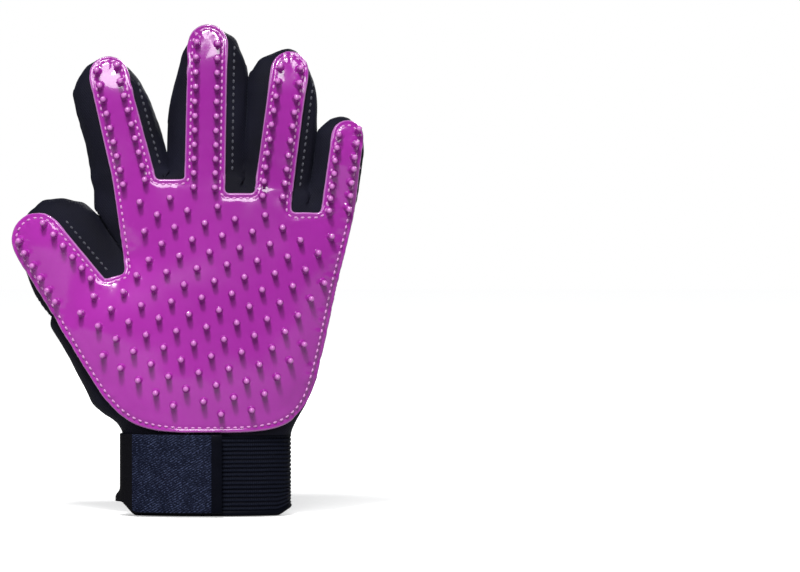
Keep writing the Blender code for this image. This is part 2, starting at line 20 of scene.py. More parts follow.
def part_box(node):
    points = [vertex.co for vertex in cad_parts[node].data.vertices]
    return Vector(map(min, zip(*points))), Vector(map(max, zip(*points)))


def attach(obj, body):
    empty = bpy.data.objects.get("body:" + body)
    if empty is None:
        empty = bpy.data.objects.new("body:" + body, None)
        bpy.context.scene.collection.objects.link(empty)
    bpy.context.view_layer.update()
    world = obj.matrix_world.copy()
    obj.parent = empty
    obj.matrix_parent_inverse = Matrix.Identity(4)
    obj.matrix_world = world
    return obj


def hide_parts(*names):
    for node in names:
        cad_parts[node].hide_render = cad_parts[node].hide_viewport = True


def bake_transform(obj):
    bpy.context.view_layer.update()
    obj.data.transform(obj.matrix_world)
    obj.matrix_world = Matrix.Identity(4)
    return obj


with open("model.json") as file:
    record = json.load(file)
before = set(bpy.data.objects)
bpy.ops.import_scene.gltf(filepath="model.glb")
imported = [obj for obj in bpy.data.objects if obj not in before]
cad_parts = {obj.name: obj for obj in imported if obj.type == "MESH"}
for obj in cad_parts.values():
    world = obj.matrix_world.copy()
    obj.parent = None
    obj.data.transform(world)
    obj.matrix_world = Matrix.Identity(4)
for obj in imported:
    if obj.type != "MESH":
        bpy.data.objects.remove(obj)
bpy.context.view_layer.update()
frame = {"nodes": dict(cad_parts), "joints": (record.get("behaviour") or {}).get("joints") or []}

MM = 0.001
DIGIT_NAMES = ("index", "middle", "ring", "little", "thumb")

# Skin
PALM_HEIGHTS = [h * MM for h in (40.5, 46, 53, 62.7, 77, 91, 97, 109, 121, 133, 145)]
PALM_TOP = 172 * MM
PALM_TOP_DEPTH = 9.2 * MM
PALM_TAPER = 0.12
TAPER_START, TAPER_LENGTH = 97 * MM, 48 * MM
SKIN_BOTTOM = 38.7 * MM
PALM_ROUNDNESS = 2.6
DIGIT_ROUNDNESS = 2.15
DIGIT_ROOT = {"index": 16 * MM, "middle": 16 * MM, "ring": 16 * MM, "little": 16 * MM, "thumb": 34 * MM}
SLIT = 1.0 * MM
VOXEL = 1.05 * MM
SKIN_THICKNESS = 1.2 * MM
SKIN_ROUNDS = 8
# How far the stuffed fabric stands out beyond the CAD sleeve, in mm:
# (place along the digit, out on its thumb side or the thumb's outer side, out on its other side)
FULLNESS = {
    "index": ((0, 0.8, 2.8), (7, 0.6, 3.3), (19, 0.6, 2.5), (25, 1.6, 1.8), (37, 3.5, 0.4), (43, 4.9, -0.6),
              (49, 4.5, -1.6), (55, 3.2, -2.2), (59, 0.0, 0.0)),
    "middle": ((0, 1.6, 1.6), (7, 1.7, 2.4), (25, 1.9, 2.8), (37, 0.9, 3.1), (43, 0.0, 3.3), (49, -1.4, 3.2),
               (55, -2.4, 2.9), (61, -2.8, 2.6), (67, -2.6, 2.2), (72, 0.0, 0.0)),
    "ring": ((0, 0.8, 1.0), (7, 0.8, 1.6), (19, 1.3, 2.0), (31, 2.3, 2.4), (43, 3.2, 1.5), (49, 3.7, 0.6),
             (55, 4.1, -0.3), (61, 3.6, 0.0), (68.6, 0.0, 0.0)),
    "little": ((0, 1.0, -0.8), (7, 1.4, 0.0), (19, 1.8, -0.2), (31, 2.5, -0.6), (37, 4.0, -0.5),
               (42, 4.4, 0.0), (44, 1.5, 0.0)),
    "thumb": ((0, 3.2, 0.0), (7, 3.6, 0.6), (13, 3.6, 1.5), (25, 3.0, 2.0), (37, 3.0, 2.0), (43, 2.4, 1.5),
              (48.2, 0.0, 0.0)),
}
# The same for the hand, by height
PALM_FULLNESS = ((40, 0.0, 0.0), (44, 0.4, 0.0), (48, 3.0, 0.0), (54, 2.6, 0.0), (62, 1.2, -0.4),
                 (75, 0.4, -0.9), (84, 0.9, -0.9), (94, 1.7, -0.9), (104, 2.4, -0.9), (112, 1.4, -0.9),
                 (120, 0.0, -0.9), (145, 0.0, -0.9), (175, 0.0, 0.0))
ROOT_BLEND = 4.5 * MM
# How far a fingertip leans back, over this much of its end
TIP_LEAN = {"ring": 3.0 * MM, "middle": 0.8 * MM, "little": 1.0 * MM}
TIP_LENGTH = 24 * MM
KNUCKLE_SOFTNESS = 15 * MM
KNUCKLE_ROUNDS = 260
DIGIT_SHARE = 1.06
FOLD_HEIGHT = 1.1 * MM
FOLD_WIDTH = 6.5 * MM
FOLD_LENGTH = 26 * MM
WRINKLE_HEIGHT = 0.7 * MM

# Rubber pad: its edge where the strips don't set it, as (x, z) up one side and down the other
PAD_RIGHT_EDGE = (
    (0.0000, 0.0400), (0.0180, 0.0402), (0.0310, 0.0416), (0.0398, 0.0450), (0.0462, 0.0512),
    (0.0505, 0.0595), (0.0536, 0.0710), (0.0562, 0.0820), (0.0588, 0.0940), (0.0616, 0.1080),
    (0.0649, 0.1210), (0.0681, 0.1330),
)
PAD_LEFT_EDGE = (
    (-0.0688, 0.0885), (-0.0616, 0.0766), (-0.0545, 0.0650), (-0.0500, 0.0582), (-0.0440, 0.0512),
    (-0.0362, 0.0448), (-0.0245, 0.0411), (-0.0110, 0.0400),
)
PAD_WEBS = {("little", "ring"): 145.2 * MM, ("ring", "middle"): 154.5 * MM, ("middle", "index"): 161.2 * MM}
THUMB_WEB = ((-0.0385, 0.1163), (-0.0478, 0.1134))
PAD_LIFT = 0.1 * MM
PAD_THICKNESS = 2.0 * MM
RIM_HEIGHT = 0.35 * MM
GROOVE_PLACE = 2.4 * MM
GROOVE_DEPTH = 0.22 * MM
EDGE_STEP = 1.1 * MM
RIM_LOOPS = [d * MM for d in (0.3, 0.7, 1.2, 1.8, 2.4, 3.0, 3.7, 4.6)]
PAD_STEP = 1.9 * MM
DRAPE_ROUNDS = 25
PAD_ROUNDS = 12

# Pins and stitches
PIN_PROFILE = [(r * MM, h * MM) for r, h in (
    (2.45, -0.35), (2.0, 0.06), (1.68, 0.40), (1.52, 1.0), (1.42, 2.2), (1.38, 3.8),
    (1.36, 4.5), (1.2, 5.02), (0.82, 5.38), (0.38, 5.52))]
PIN_TOP = 5.56 * MM
PIN_SIDES = 16
PIN_EDGE_MARGINS = {"thumb side": 11.0 * MM, "other side": 8.8 * MM, "above": 5.7 * MM}
PIN_EDGE_HEIGHT = 97 * MM
STRIP_EXTRA = {"index": 2.6 * MM, "middle": 2.8 * MM, "ring": 0.5 * MM, "little": 0.8 * MM, "thumb": 1.1 * MM}
STRIP_SHIFT = {"index": (-1.5 * MM, -2.2 * MM), "ring": (0.4 * MM, 0.4 * MM), "thumb": (0.0, -1.3 * MM)}
ROW_SHARE = 0.52
THUMB_ROW_INSET = 5.0 * MM
# Pins on each strip: the first one's place along the digit, the pitch and how many in a row
STRIP_PINS = {"index": (-3.6, 6.87, 9), "middle": (-5.9, 6.87, 11), "ring": (-3.4, 6.87, 10),
              "little": (-0.4, 6.1, 7), "thumb": (3.6, 6.9, 6)}
PIN_SPACING = 7.6 * MM
PALM_PIN_START = (0.0102, 0.1203)
PALM_PIN_STEPS = ((0.00833, -0.00598), (0.00602, 0.00785))
SEAM_GAP = 3.1 * MM
SEAM_STEP = 0.2 * MM
STITCH_PITCH = 3.2 * MM
STITCH_LENGTH = 1.8 * MM
STITCH_RADIUS = 0.48 * MM
STITCH_RISE, SEAM_RISE = 0.42 * MM, 0.34 * MM

# Cuff: heights above the hem, distances out from the cuff's face, and turns round its ellipse in degrees
# (180 is its thumb side, 270 its front)
ELASTIC_HEIGHTS = (2.6 * MM, 38.2 * MM)
RIB_PITCH = 2.03 * MM
RIB_HEIGHT = 0.62 * MM
ELASTIC_WALL = 2.0 * MM
STRAP_HEIGHTS = (1.6 * MM, 39.2 * MM)
ANCHOR_START, FOLD_START, TAB_START = 105, 180, 203
ANCHOR_OUT, TAB_OUT = 0.9 * MM, 3.3 * MM
FLAP_OUT, FLAP_TURN, FLAP_SPREAD = 2.4 * MM, 183, 9
WEBBING_THICKNESS = 1.1 * MM
FACE_TURNS = (214, 274.5)
FACE_OUT, FACE_THICKNESS = 4.0 * MM, 0.55 * MM
BORDER_TURNS = (273.8, 280.6)
HOOK_TURNS = (201, 272)
HOOK_PITCH = 1.7 * MM
HOOK_FOOT = 2.25 * MM
LOOP_TURNS = (196, 279)
CORNER_LIFT = (5.5 * MM, 3.5 * MM)

# ---------------------------------------------------------------- reading the frame

Digit = namedtuple("Digit", "name crease across along bend length")


def joint(name):
    return next(j for j in frame["joints"] if j["name"] == name)


def read_digit(name):
    """A digit's own axes in the plane of the hand, from its two joints and its sleeve."""
    knuckle, middle = joint(name + "_knuckle"), joint(name + "_middle_joint")
    across = Vector(knuckle["axis"])
    along = Vector((-across.z, 0.0, across.x))
    crease = Vector(knuckle["pos_m"])
    crease.y = 0.0
    bend = (Vector(middle["pos_m"]) - crease).dot(along)
    sleeve = frame["nodes"][name + "_tip_back_panel"].data.vertices
    length = max((v.co - crease).dot(along) for v in sleeve)
    return Digit(name, crease, across, along, bend, length)


def in_digit(digit, points):
    """Columns of distance across and along the digit, of an array of points."""
    flat = points - np.array(digit.crease)
    return flat @ np.array(digit.across), flat @ np.array(digit.along)


def at(digit, across, depth, along):
    return digit.crease + digit.across * across + digit.along * along + Vector((0, depth, 0))


def section(nodes, origin, across, along, distance):
    """Lowest and highest place across, and lowest and highest y, where a plane cuts CAD nodes."""
    cuts = []
    for name in nodes:
        mesh = frame["nodes"][name].data
        points = np.array([v.co for v in mesh.vertices])
        ends = np.array([e.vertices for e in mesh.edges])
        reach = (points - np.array(origin)) @ np.array(along) - distance
        low, high = reach[ends[:, 0]], reach[ends[:, 1]]
        crossed = low * high < 0
        share = (low / (low - high + 1e-12))[crossed, None]
        cuts.append(points[ends[crossed, 0]] * (1 - share) + points[ends[crossed, 1]] * share)
    cut = np.concatenate(cuts)
    sideways = (cut - np.array(origin)) @ np.array(across)
    return sideways.min(), sideways.max(), cut[:, 1].min(), cut[:, 1].max()


def digit_section(digit, nodes, distance):
    return section(nodes, digit.crease, digit.across, digit.along, distance)


# ---------------------------------------------------------------- mesh helpers


def make_object(name, verts, faces, material=None):
    mesh = bpy.data.meshes.new(name)
    mesh.from_pydata([tuple(v) for v in verts], [], [tuple(f) for f in faces])
    mesh.update()
    obj = bpy.data.objects.new(name, mesh)
    bpy.context.scene.collection.objects.link(obj)
    if material:
        mesh.materials.append(material)
    mesh.shade_smooth()
    return obj


def remove(obj):
    bpy.data.objects.remove(obj, do_unlink=True)


def applied(obj):
    """The object with its modifiers applied."""
    bpy.context.view_layer.update()
    graph = bpy.context.evaluated_depsgraph_get()
    mesh = bpy.data.meshes.new_from_object(obj.evaluated_get(graph))
    obj.modifiers.clear()
    obj.data = mesh
    return obj


def ring_faces(rings, count, closed=False):
    """Four-sided faces between each ring of points and the next."""
    faces = []
    for row in range(rings if closed else rings - 1):
        a, b = row * count, (row + 1) % rings * count
        faces += [(a + i, a + (i + 1) % count, b + (i + 1) % count, b + i) for i in range(count)]
    return faces


def turn_faces_out(obj):
    bm = bmesh.new()
    bm.from_mesh(obj.data)
    bmesh.ops.recalc_face_normals(bm, faces=bm.faces)
    bm.to_mesh(obj.data)
    bm.free()


def loft(name, rings):
    """A closed solid through rings of equal length."""
    count = len(rings[0])
    faces = ring_faces(len(rings), count)
    faces.append(tuple(reversed(range(count))))
    faces.append(tuple(range((len(rings) - 1) * count, len(rings) * count)))
    obj = make_object(name, [p for ring in rings for p in ring], faces)
    turn_faces_out(obj)
    return obj


def superellipse(power, count=64):
    """Points round a superellipse of unit half axes, as (across, depth)."""
    turns = [2 * math.pi * i / count for i in range(count)]
    return [
        (math.copysign(abs(math.cos(t)) ** (2 / power), math.cos(t)),
         math.copysign(abs(math.sin(t)) ** (2 / power), math.sin(t)))
        for t in turns
    ]


def neighbours(mesh):
    return np.array([e.vertices for e in mesh.edges])


def relax(values, edges, rounds, factor=0.5):
    """Moves each vertex's values toward the mean of its neighbours'."""
    count = np.bincount(edges.ravel(), minlength=len(values)).astype(float)[:, None]
    for _ in range(rounds):
        total = np.zeros_like(values)
        np.add.at(total, edges[:, 0], values[edges[:, 1]])
        np.add.at(total, edges[:, 1], values[edges[:, 0]])
        values = values + factor * (total / np.maximum(count, 1) - values)
    return values


def coordinates(mesh):
    co = np.empty(len(mesh.vertices) * 3)
    mesh.vertices.foreach_get("co", co)
    return co.reshape(-1, 3)


def set_coordinates(mesh, co):
    mesh.vertices.foreach_set("co", co.ravel())
    mesh.update()


def vertex_normals(mesh):
    return np.array([v.normal for v in mesh.vertices])


def smoothstep(x):
    x = np.clip(x, 0, 1)
    return x * x * (3 - 2 * x)


# ---------------------------------------------------------------- the skin


def palm_solid():
    """The hand below the digits' creases."""
    panels = ("palm_panel", "back_panel", "thumb_side_panel", "little_side_panel")
    rings = []
    for height in PALM_HEIGHTS:
        left, right, front, back = section(panels, (0, 0, 0), (1, 0, 0), (0, 0, 1), height)
        thinner = 1 - PALM_TAPER * float(smoothstep((height - TAPER_START) / TAPER_LENGTH))
        rings.append((height, left, right, max(-front, back) * thinner))
    height, left, right, depth = rings[0]
    rings.insert(0, (SKIN_BOTTOM - 3 * MM, left + 0.4 * MM, right - 0.4 * MM, depth - 0.4 * MM))
    height, left, right, depth = rings[-1]
    rings.append((PALM_TOP, left - 0.2 * MM, right + 2.5 * MM, PALM_TOP_DEPTH))
    shape = superellipse(PALM_ROUNDNESS, 96)
    loops = []
    for height, left, right, depth in rings:
        centre, half = (left + right) / 2, (right - left) / 2
        loops.append([(centre + half * a, depth * b, height) for a, b in shape])
    palm = loft("palm", loops)
    cutter = crease_prism()
    cut = palm.modifiers.new("creases", "BOOLEAN")
    cut.operation, cut.object, cut.solver = "INTERSECT", cutter, "EXACT"
    applied(palm)
    remove(cutter)
    return palm


def half_width(digit):
    low, high, _, _ = digit_section(digit, (digit.name + "_lower_back_panel",), 1 * MM)
    return (high - low) / 2


def crease_prism():
    """Everything below the digits' creases, as a block whose top edge follows them."""
    index, middle, ring, little, thumb = digits
    low, far = -10 * MM, 120 * MM
    inner = at(thumb, half_width(thumb) + SLIT, 0, 0)
    side = inner + thumb.along * (45 * MM)
    edge = [(far, low), (far, at(little, 60 * MM, 0, 0).z), at(little, half_width(little), 0, 0)]
    edge.append(at(little, -half_width(little), 0, 0))
    for digit in (ring, middle, index):
        edge += [at(digit, half_width(digit), 0, 0), at(digit, -half_width(digit), 0, 0)]
    edge += [at(index, -26 * MM, 0, 0), side, inner]
    edge += [at(thumb, -half_width(thumb) - 30 * MM, 0, 0), (-far, low)]
    edge = [(p[0], p[-1]) for p in edge]
    depth = 60 * MM
    return loft("creases", [[(x, y, z) for x, z in edge] for y in (-depth, depth)])


def digit_solid(digit):
    """One sleeve as a closed solid that runs down into the hand."""
    panels = {}
    for segment in ("lower", "tip"):
        panels[segment] = [f"{digit.name}_{segment}_{side}_panel" for side in ("palm", "back")]
    shape = superellipse(DIGIT_ROUNDNESS, 48)
    rings = []
    stations = [digit.length * math.sin(math.pi / 2 * i / 22) for i in range(22)]
    for along in stations:
        along = max(along, 1 * MM)
        if abs(along - digit.bend) < 0.6 * MM:
            continue
        nodes = panels["lower" if along < digit.bend else "tip"]
        low, high, front, back = digit_section(digit, nodes, along)
        rings.append((along, (low + high) / 2, (high - low) / 2, max(-front, back)))
    rings.append((digit.length, 0.0, 0.2 * MM, 0.2 * MM))
    _, centre, half, depth = rings[0]
    rings.insert(0, (-DIGIT_ROOT[digit.name], centre, half - 4 * MM, depth - 2 * MM))
    loops = []
    for along, centre, half, depth in rings:
        loops.append([at(digit, centre + half * a, depth * b, along) for a, b in shape])
    return loft(digit.name, loops)


def merge_solids(solids):
    """The solids as one remeshed skin."""
    bm = bmesh.new()
    for solid in solids:
        bm.from_mesh(solid.data)
        remove(solid)
    mesh = bpy.data.meshes.new("skin")
    bm.to_mesh(mesh)
    bm.free()
    obj = bpy.data.objects.new("skin", mesh)
    bpy.context.scene.collection.objects.link(obj)
    remesh = obj.modifiers.new("remesh", "REMESH")
    remesh.mode, remesh.voxel_size = "VOXEL", VOXEL
    applied(obj)
    return obj


def digit_of(points, below=0.0):
    """Which digit each point is on, or at most a distance below, as an index, or -1 for the hand."""
    best = np.full(len(points), DIGIT_SHARE)
    found = np.full(len(points), -1)
    for i, digit in enumerate(digits):
        across, along = in_digit(digit, points)
        ratio = np.abs(across) / half_widths[digit.name]
        better = (along > -below) & (ratio < best)
        best[better], found[better] = ratio[better], i
    return found


def skin_regions(points):
    """-1 for the hand, else 2 * digit + (0 lower, 1 tip)."""
    found = digit_of(points)
    regions = np.full(len(points), -1)
    for i, digit in enumerate(digits):
        here = found == i
        _, along = in_digit(digit, points[here])
        regions[here] = 2 * i + (along > digit.bend)
    return regions


def cut_skin(obj):
    """Cuts the skin's faces along the wrist and along each crease and middle joint."""
    bm = bmesh.new()
    bm.from_mesh(obj.data)
    for digit in digits:
        for reach in (0.0, digit.bend):
            centres = np.array([f.calc_center_median() for f in bm.faces])
            across, along = in_digit(digit, centres)
            beside = np.abs(across) < DIGIT_SHARE * half_widths[digit.name]
            near = (np.abs(along - reach) < 2.5 * MM) & beside
            bm.faces.ensure_lookup_table()
            faces = [bm.faces[k] for k in np.flatnonzero(near)]
            edges = {e for f in faces for e in f.edges}
            verts = {v for f in faces for v in f.verts}
            bmesh.ops.bisect_plane(bm, geom=faces + list(edges) + list(verts), dist=1e-5,
                                   plane_co=at(digit, 0, 0, reach), plane_no=digit.along)
    bmesh.ops.bisect_plane(bm, geom=bm.faces[:] + bm.edges[:] + bm.verts[:], dist=1e-5,
                           plane_co=(0, 0, SKIN_BOTTOM), plane_no=(0, 0, 1), clear_inner=True)
    bmesh.ops.triangulate(bm, faces=[f for f in bm.faces if len(f.verts) > 4])
    bm.to_mesh(obj.data)
    bm.free()


def soften_knuckles(co, edges):
    """Evens out the ledges where each digit leaves the hand."""
    weight = np.zeros(len(co))
    for digit in digits:
        across, along = in_digit(digit, co)
        beside = smoothstep(3.2 - 2 * np.abs(across) / half_widths[digit.name])
        weight = np.maximum(weight, np.exp(-(along / KNUCKLE_SOFTNESS) ** 2) * beside)
    weight *= smoothstep(np.abs(co[:, 1]) / (2 * MM))
    near = weight[edges].max(axis=1) > 0.01
    depth = relax(co[:, 1:2].copy(), edges[near], KNUCKLE_ROUNDS)[:, 0]
    co[:, 1] += weight * (depth - co[:, 1])
    return co


def fill_out(co):
    """Moves each digit's skin sideways to the stuffed sleeve's own outline."""
    height, left, right = (np.array(column) * MM for column in zip(*PALM_FULLNESS))
    side = np.clip(co[:, 0] / (50 * MM), -1, 1)
    left, right = np.interp(co[:, 2], height, left), np.interp(co[:, 2], height, right)
    co[:, 0] += np.where(side > 0, right, -left) * side ** 2
    found = digit_of(co, ROOT_BLEND)
    for i, digit in enumerate(digits):
        here = found == i
        across, along = in_digit(digit, co[here])
        reach, left, right = (np.array(column) * MM for column in zip(*FULLNESS[digit.name]))
        side = np.clip(across / half_widths[digit.name], -1, 1)
        left, right = np.interp(along, reach, left), np.interp(along, reach, right)
        shift = (right * (1 + side) - left * (1 - side)) / 2 * smoothstep(1 + along / ROOT_BLEND)
        co[here] += shift[:, None] * np.array(digit.across)
        near_tip = np.clip((along - digit.length) / TIP_LENGTH + 1, 0, 1)
        co[here, 1] += TIP_LEAN.get(digit.name, 0.0) * near_tip ** 2
    return co


def fold(co, normals):
    """Soft folds along the digits and creases where they meet the hand."""
    found = digit_of(co)
    moved = co.copy()
    for k, (p, n) in enumerate(zip(co, normals)):
        i = found[k]
        height = noise.noise(Vector(p) / (17 * MM)) * 0.6 * FOLD_HEIGHT
        if i >= 0:
            digit = digits[i]
            d = Vector(p) - digit.crease
            across, along = d.dot(digit.across), d.dot(digit.along)
            place = Vector((across / FOLD_WIDTH, p[1] / FOLD_WIDTH, along / FOLD_LENGTH + 7 * i))
            height += (noise.noise(place) * FOLD_HEIGHT - height) * float(smoothstep(along / (10 * MM)))
            root = max(0.0, 1 - along / (16 * MM))
            slant = Vector((across / (9 * MM), p[1] / (9 * MM), along / (3.6 * MM)))
            height += noise.noise(slant) * WRINKLE_HEIGHT * root * min(1.0, along / (3 * MM))
        if n[1] < -0.75:
            height *= 0.35
        moved[k] = p + n * height
    return moved


# ---------------------------------------------------------------- the pad's flat outline


def strip_edges(digit):
    """The strip's two edges at its crease and at the start of its round end, and its end."""
    lower, tip = frame["nodes"][digit.name + "_lower_pad"], frame["nodes"][digit.name + "_tip_pad"]
    end = max((v.co - digit.crease).dot(digit.along) for v in tip.data.vertices)
    start_low, start_high, _, _ = digit_section(digit, (lower.name,), 0.6 * MM)
    radius = (start_high - start_low) / 2
    for _ in range(4):
        low, high, _, _ = digit_section(digit, (tip.name,), end - radius)
        radius = (high - low) / 2
    shift = STRIP_SHIFT.get(digit.name, (0.0, 0.0))
    return (start_low, start_high), (low + shift[0], high + shift[1]), end - radius + STRIP_EXTRA[digit.name]


def lobe(digit):
    """The strip's outline up its positive side, round its end and down the other side."""
    (start_low, start_high), (low, high), straight = strips[digit.name]
    centre, radius = (low + high) / 2, (high - low) / 2
    points = [at(digit, start_high, 0, 0)]
    for i in range(13):
        turn = math.pi * i / 12
        points.append(at(digit, centre + radius * math.cos(turn), 0, straight + radius * math.sin(turn)))
    points.append(at(digit, start_low, 0, 0))
    return [(p.x, p.z) for p in points]


def below(digit, side, height):
    """Where a strip's edge, carried on below its crease, reaches a height."""
    (low, high), _, _ = strips[digit.name]
    corner = at(digit, high if side > 0 else low, 0, 0)
    drop = (height - corner.z) / digit.along.z
    return corner.x + digit.along.x * drop, height


def quarter_points(line):
    """The points a quarter and three quarters of the way along each stretch of a line."""
    return [(a[0] * (1 - share) + b[0] * share, a[1] * (1 - share) + b[1] * share)
            for a, b in zip(line, line[1:]) for share in (0.25, 0.75)]


def eased(points, rounds=2):
    """An open line with its corners cut and its ends kept."""
    for _ in range(rounds):
        points = [points[0]] + quarter_points(points) + [points[-1]]
    return points


def pad_outline():
    index, middle, ring, little, thumb = digits
    points = eased(PAD_RIGHT_EDGE) + lobe(little)
    for upper, lower in ((little, ring), (ring, middle), (middle, index)):
        web = PAD_WEBS[(upper.name, lower.name)]
        points += [below(upper, -1, web), below(lower, 1, web)] + lobe(lower)
    points += list(THUMB_WEB)
    points += lobe(thumb)
    points += eased(PAD_LEFT_EDGE)
    return points


def cut_long(points, longest):
    made = []
    for a, b in zip(points, points[1:] + points[:1]):
        count = max(1, math.ceil(math.dist(a, b) / longest))
        made += [(a[0] + (b[0] - a[0]) * i / count, a[1] + (b[1] - a[1]) * i / count) for i in range(count)]
    return made


def round_corners(points, rounds=3):
    """A closed line with its corners cut."""
    for _ in range(rounds):
        points = quarter_points(points + points[:1])
    return points


def evenly(points, step):
    """The closed line through the points, again, with points a step apart."""
    line = np.array(points + points[:1])
    runs = np.linalg.norm(np.diff(line, axis=0), axis=1)
    reach = np.concatenate([[0], np.cumsum(runs)])
    count = int(round(reach[-1] / step))
    places = np.arange(count) * reach[-1] / count
    return np.stack([np.interp(places, reach, line[:, k]) for k in (0, 1)], axis=1)


def inward(outline):
    """Unit normals of a closed anticlockwise line, pointing in."""
    run = np.roll(outline, -1, axis=0) - np.roll(outline, 1, axis=0)
    run /= np.linalg.norm(run, axis=1)[:, None]
    return np.stack([-run[:, 1], run[:, 0]], axis=1)


def distance_inside(points, outline):
    """Distance of each point to the closed outline, negative outside."""
    points = np.asarray(points, float)
    a, b = outline, np.roll(outline, -1, axis=0)
    result = np.empty(len(points))
    for start in range(0, len(points), 4000):
        p = points[start:start + 4000, None]
        run = (b - a)[None]
        share = np.clip(((p - a) * run).sum(2) / (run * run).sum(2), 0, 1)
        gap = np.linalg.norm(p - a - run * share[..., None], axis=2).min(1)
        rises = (a[None, :, 1] > p[..., 1]) != (b[None, :, 1] > p[..., 1])
        with np.errstate(divide="ignore", invalid="ignore"):
            crossing = a[None, :, 0] + (p[..., 1] - a[None, :, 1]) / (b - a)[None, :, 1] * (b - a)[None, :, 0]
        inside = (rises & (p[..., 0] < crossing)).sum(1) % 2 == 1
        result[start:start + 4000] = np.where(inside, gap, -gap)
    return result


def cut_lines():
    """Lines across each strip at its crease and its middle joint, as pairs of (x, z)."""
    lines = []
    for digit in digits:
        (low, high), _, _ = strips[digit.name]
        for along in (0.0, digit.bend):
            ends = [at(digit, low - 3 * MM, 0, along), at(digit, high + 3 * MM, 0, along)]
            count = int((ends[1] - ends[0]).length / EDGE_STEP)
            lines.append([tuple(ends[0].lerp(ends[1], i / count).xz) for i in range(count + 1)])
    return lines


def flat_mesh(outline):
    """The pad's outline filled with small triangles that run along its edge and its cut lines."""
    lines = cut_lines()
    normals = inward(outline)
    points = [outline]
    for depth in RIM_LOOPS:
        ring = outline + normals * depth
        points.append(ring[distance_inside(ring, outline) > depth - 0.06 * MM])
    low, high = outline.min(0), outline.max(0)
    rows = np.arange(low[1], high[1], PAD_STEP * math.sqrt(3) / 2)
    grid = []
    for k, z in enumerate(rows):
        xs = np.arange(low[0], high[0], PAD_STEP) + (k % 2) * PAD_STEP / 2
        grid.append(np.stack([xs, np.full_like(xs, z)], axis=1))
    grid = np.concatenate(grid)
    points.append(grid[distance_inside(grid, outline) > RIM_LOOPS[-1] + 0.6 * PAD_STEP])
    inner = np.concatenate(points[1:])
    for line in lines:
        a, b = np.array(line[0]), np.array(line[-1])
        run = (b - a) / np.linalg.norm(b - a)
        off = np.abs((inner - a) @ np.array([-run[1], run[0]]))
        on = ((inner - a) @ run > 0) & ((inner - a) @ run < np.linalg.norm(b - a))
        inner = inner[~((off < 0.5 * MM) & on)]
    verts = [Vector(p) for p in outline] + [Vector(p) for p in inner]
    edges = []
    for line in lines:
        first = len(verts)
        verts += [Vector(p) for p in line]
        edges += [(first + i, first + i + 1) for i in range(len(line) - 1)]
    flat, _, faces, _, _, _ = delaunay_2d_cdt(verts, edges, [list(range(len(outline)))], 1, 1e-6)
    return np.array([tuple(p) for p in flat]), np.array(faces)


# ---------------------------------------------------------------- laying the pad on the skin


def depth_hit(tree, x, z):
    return tree.ray_cast(Vector((x, -0.1, z)), Vector((0, 1, 0)))[0]


def depth_at(tree, x, z):
    """The front y of a surface at (x, z)."""
    hit = depth_hit(tree, x, z)
    if hit is None:
        hit = tree.find_nearest(Vector((x, -0.004, z)))[0]
    return hit.y


def mesh_edges(faces):
    pairs = np.concatenate([faces[:, [0, 1]], faces[:, [1, 2]], faces[:, [2, 0]]])
    return np.unique(np.sort(pairs, axis=1), axis=0)


def surface_normals(points, faces):
    """Vertex normals of a triangle mesh, turned toward -Y."""
    corner = points[faces]
    cross = np.cross(corner[:, 1] - corner[:, 0], corner[:, 2] - corner[:, 0])
    total = np.zeros_like(points)
    for k in range(3):
        np.add.at(total, faces[:, k], cross)
    total /= np.linalg.norm(total, axis=1)[:, None] + 1e-15
    return np.where(total[:, 1:2] > 0, -total, total)


def pad_profile(depth):
    """Height of the pad's outer face above its underside, by distance in from its edge."""
    rim = RIM_HEIGHT * np.exp(-((depth - 0.9 * MM) / (0.55 * MM)) ** 2)
    groove = GROOVE_DEPTH * np.exp(-((depth - GROOVE_PLACE) / (0.62 * MM)) ** 2)
    edge = np.sqrt(1 - 0.75 * (1 - np.clip(depth / (0.55 * MM), 0, 1)) ** 2)
    return (PAD_THICKNESS + rim - groove) * edge


def lay_pad(flat, faces, skin_tree):
    """Underside points of the pad and the directions in which it is thick."""
    base = np.array([(x, depth_at(skin_tree, x, z), z) for x, z in flat])
    under, edges = base[:, 1:2].copy(), mesh_edges(faces)
    for _ in range(DRAPE_ROUNDS):
        base[:, 1:2] = np.minimum(relax(base[:, 1:2], edges, 1), under)
    base[:, 1:2] = relax(base[:, 1:2], edges, PAD_ROUNDS)
    normals = surface_normals(base, faces)
    push = normals * 0.6 + np.array([0, -0.4, 0])
    push /= np.linalg.norm(push, axis=1)[:, None]
    return base + push * PAD_LIFT, push


def region_of(points):
    """Which part of the pad each (x, z) is on: -1 the palm, else 2 * digit + (0 lower, 1 tip)."""
    spots = np.stack([points[:, 0], np.zeros(len(points)), points[:, 1]], axis=1)
    found = np.full(len(points), -1)
    for i, digit in enumerate(digits):
        across, along = in_digit(digit, spots)
        (low, high), _, _ = strips[digit.name]
        here = (along > 0) & (across > low - 3.5 * MM) & (across < high + 3.5 * MM)
        found[here] = 2 * i + (along[here] > digit.bend)
    return found


def region_name(region):
    return "palm" if region < 0 else digits[region // 2].name + ("_tip" if region % 2 else "_lower")


def shell(top, under, faces):
    """A closed sheet between two sets of points: its points, its faces and which face each came from."""
    count = len(top)
    sides = len(faces[0])
    ends = np.concatenate([np.stack([faces[:, k], faces[:, (k + 1) % sides]], axis=1) for k in range(sides)])
    owner = np.tile(np.arange(len(faces)), sides)
    keys = {tuple(e): o for e, o in zip(ends, owner)}
    walls = [((b, a, a + count, b + count), o) for (a, b), o in keys.items() if (b, a) not in keys]
    made = [tuple(f) for f in faces] + [tuple(f) for f in faces[:, ::-1] + count] + [w for w, _ in walls]
    source = list(range(len(faces))) * 2 + [o for _, o in walls]
    return np.concatenate([top, under]), made, np.array(source)


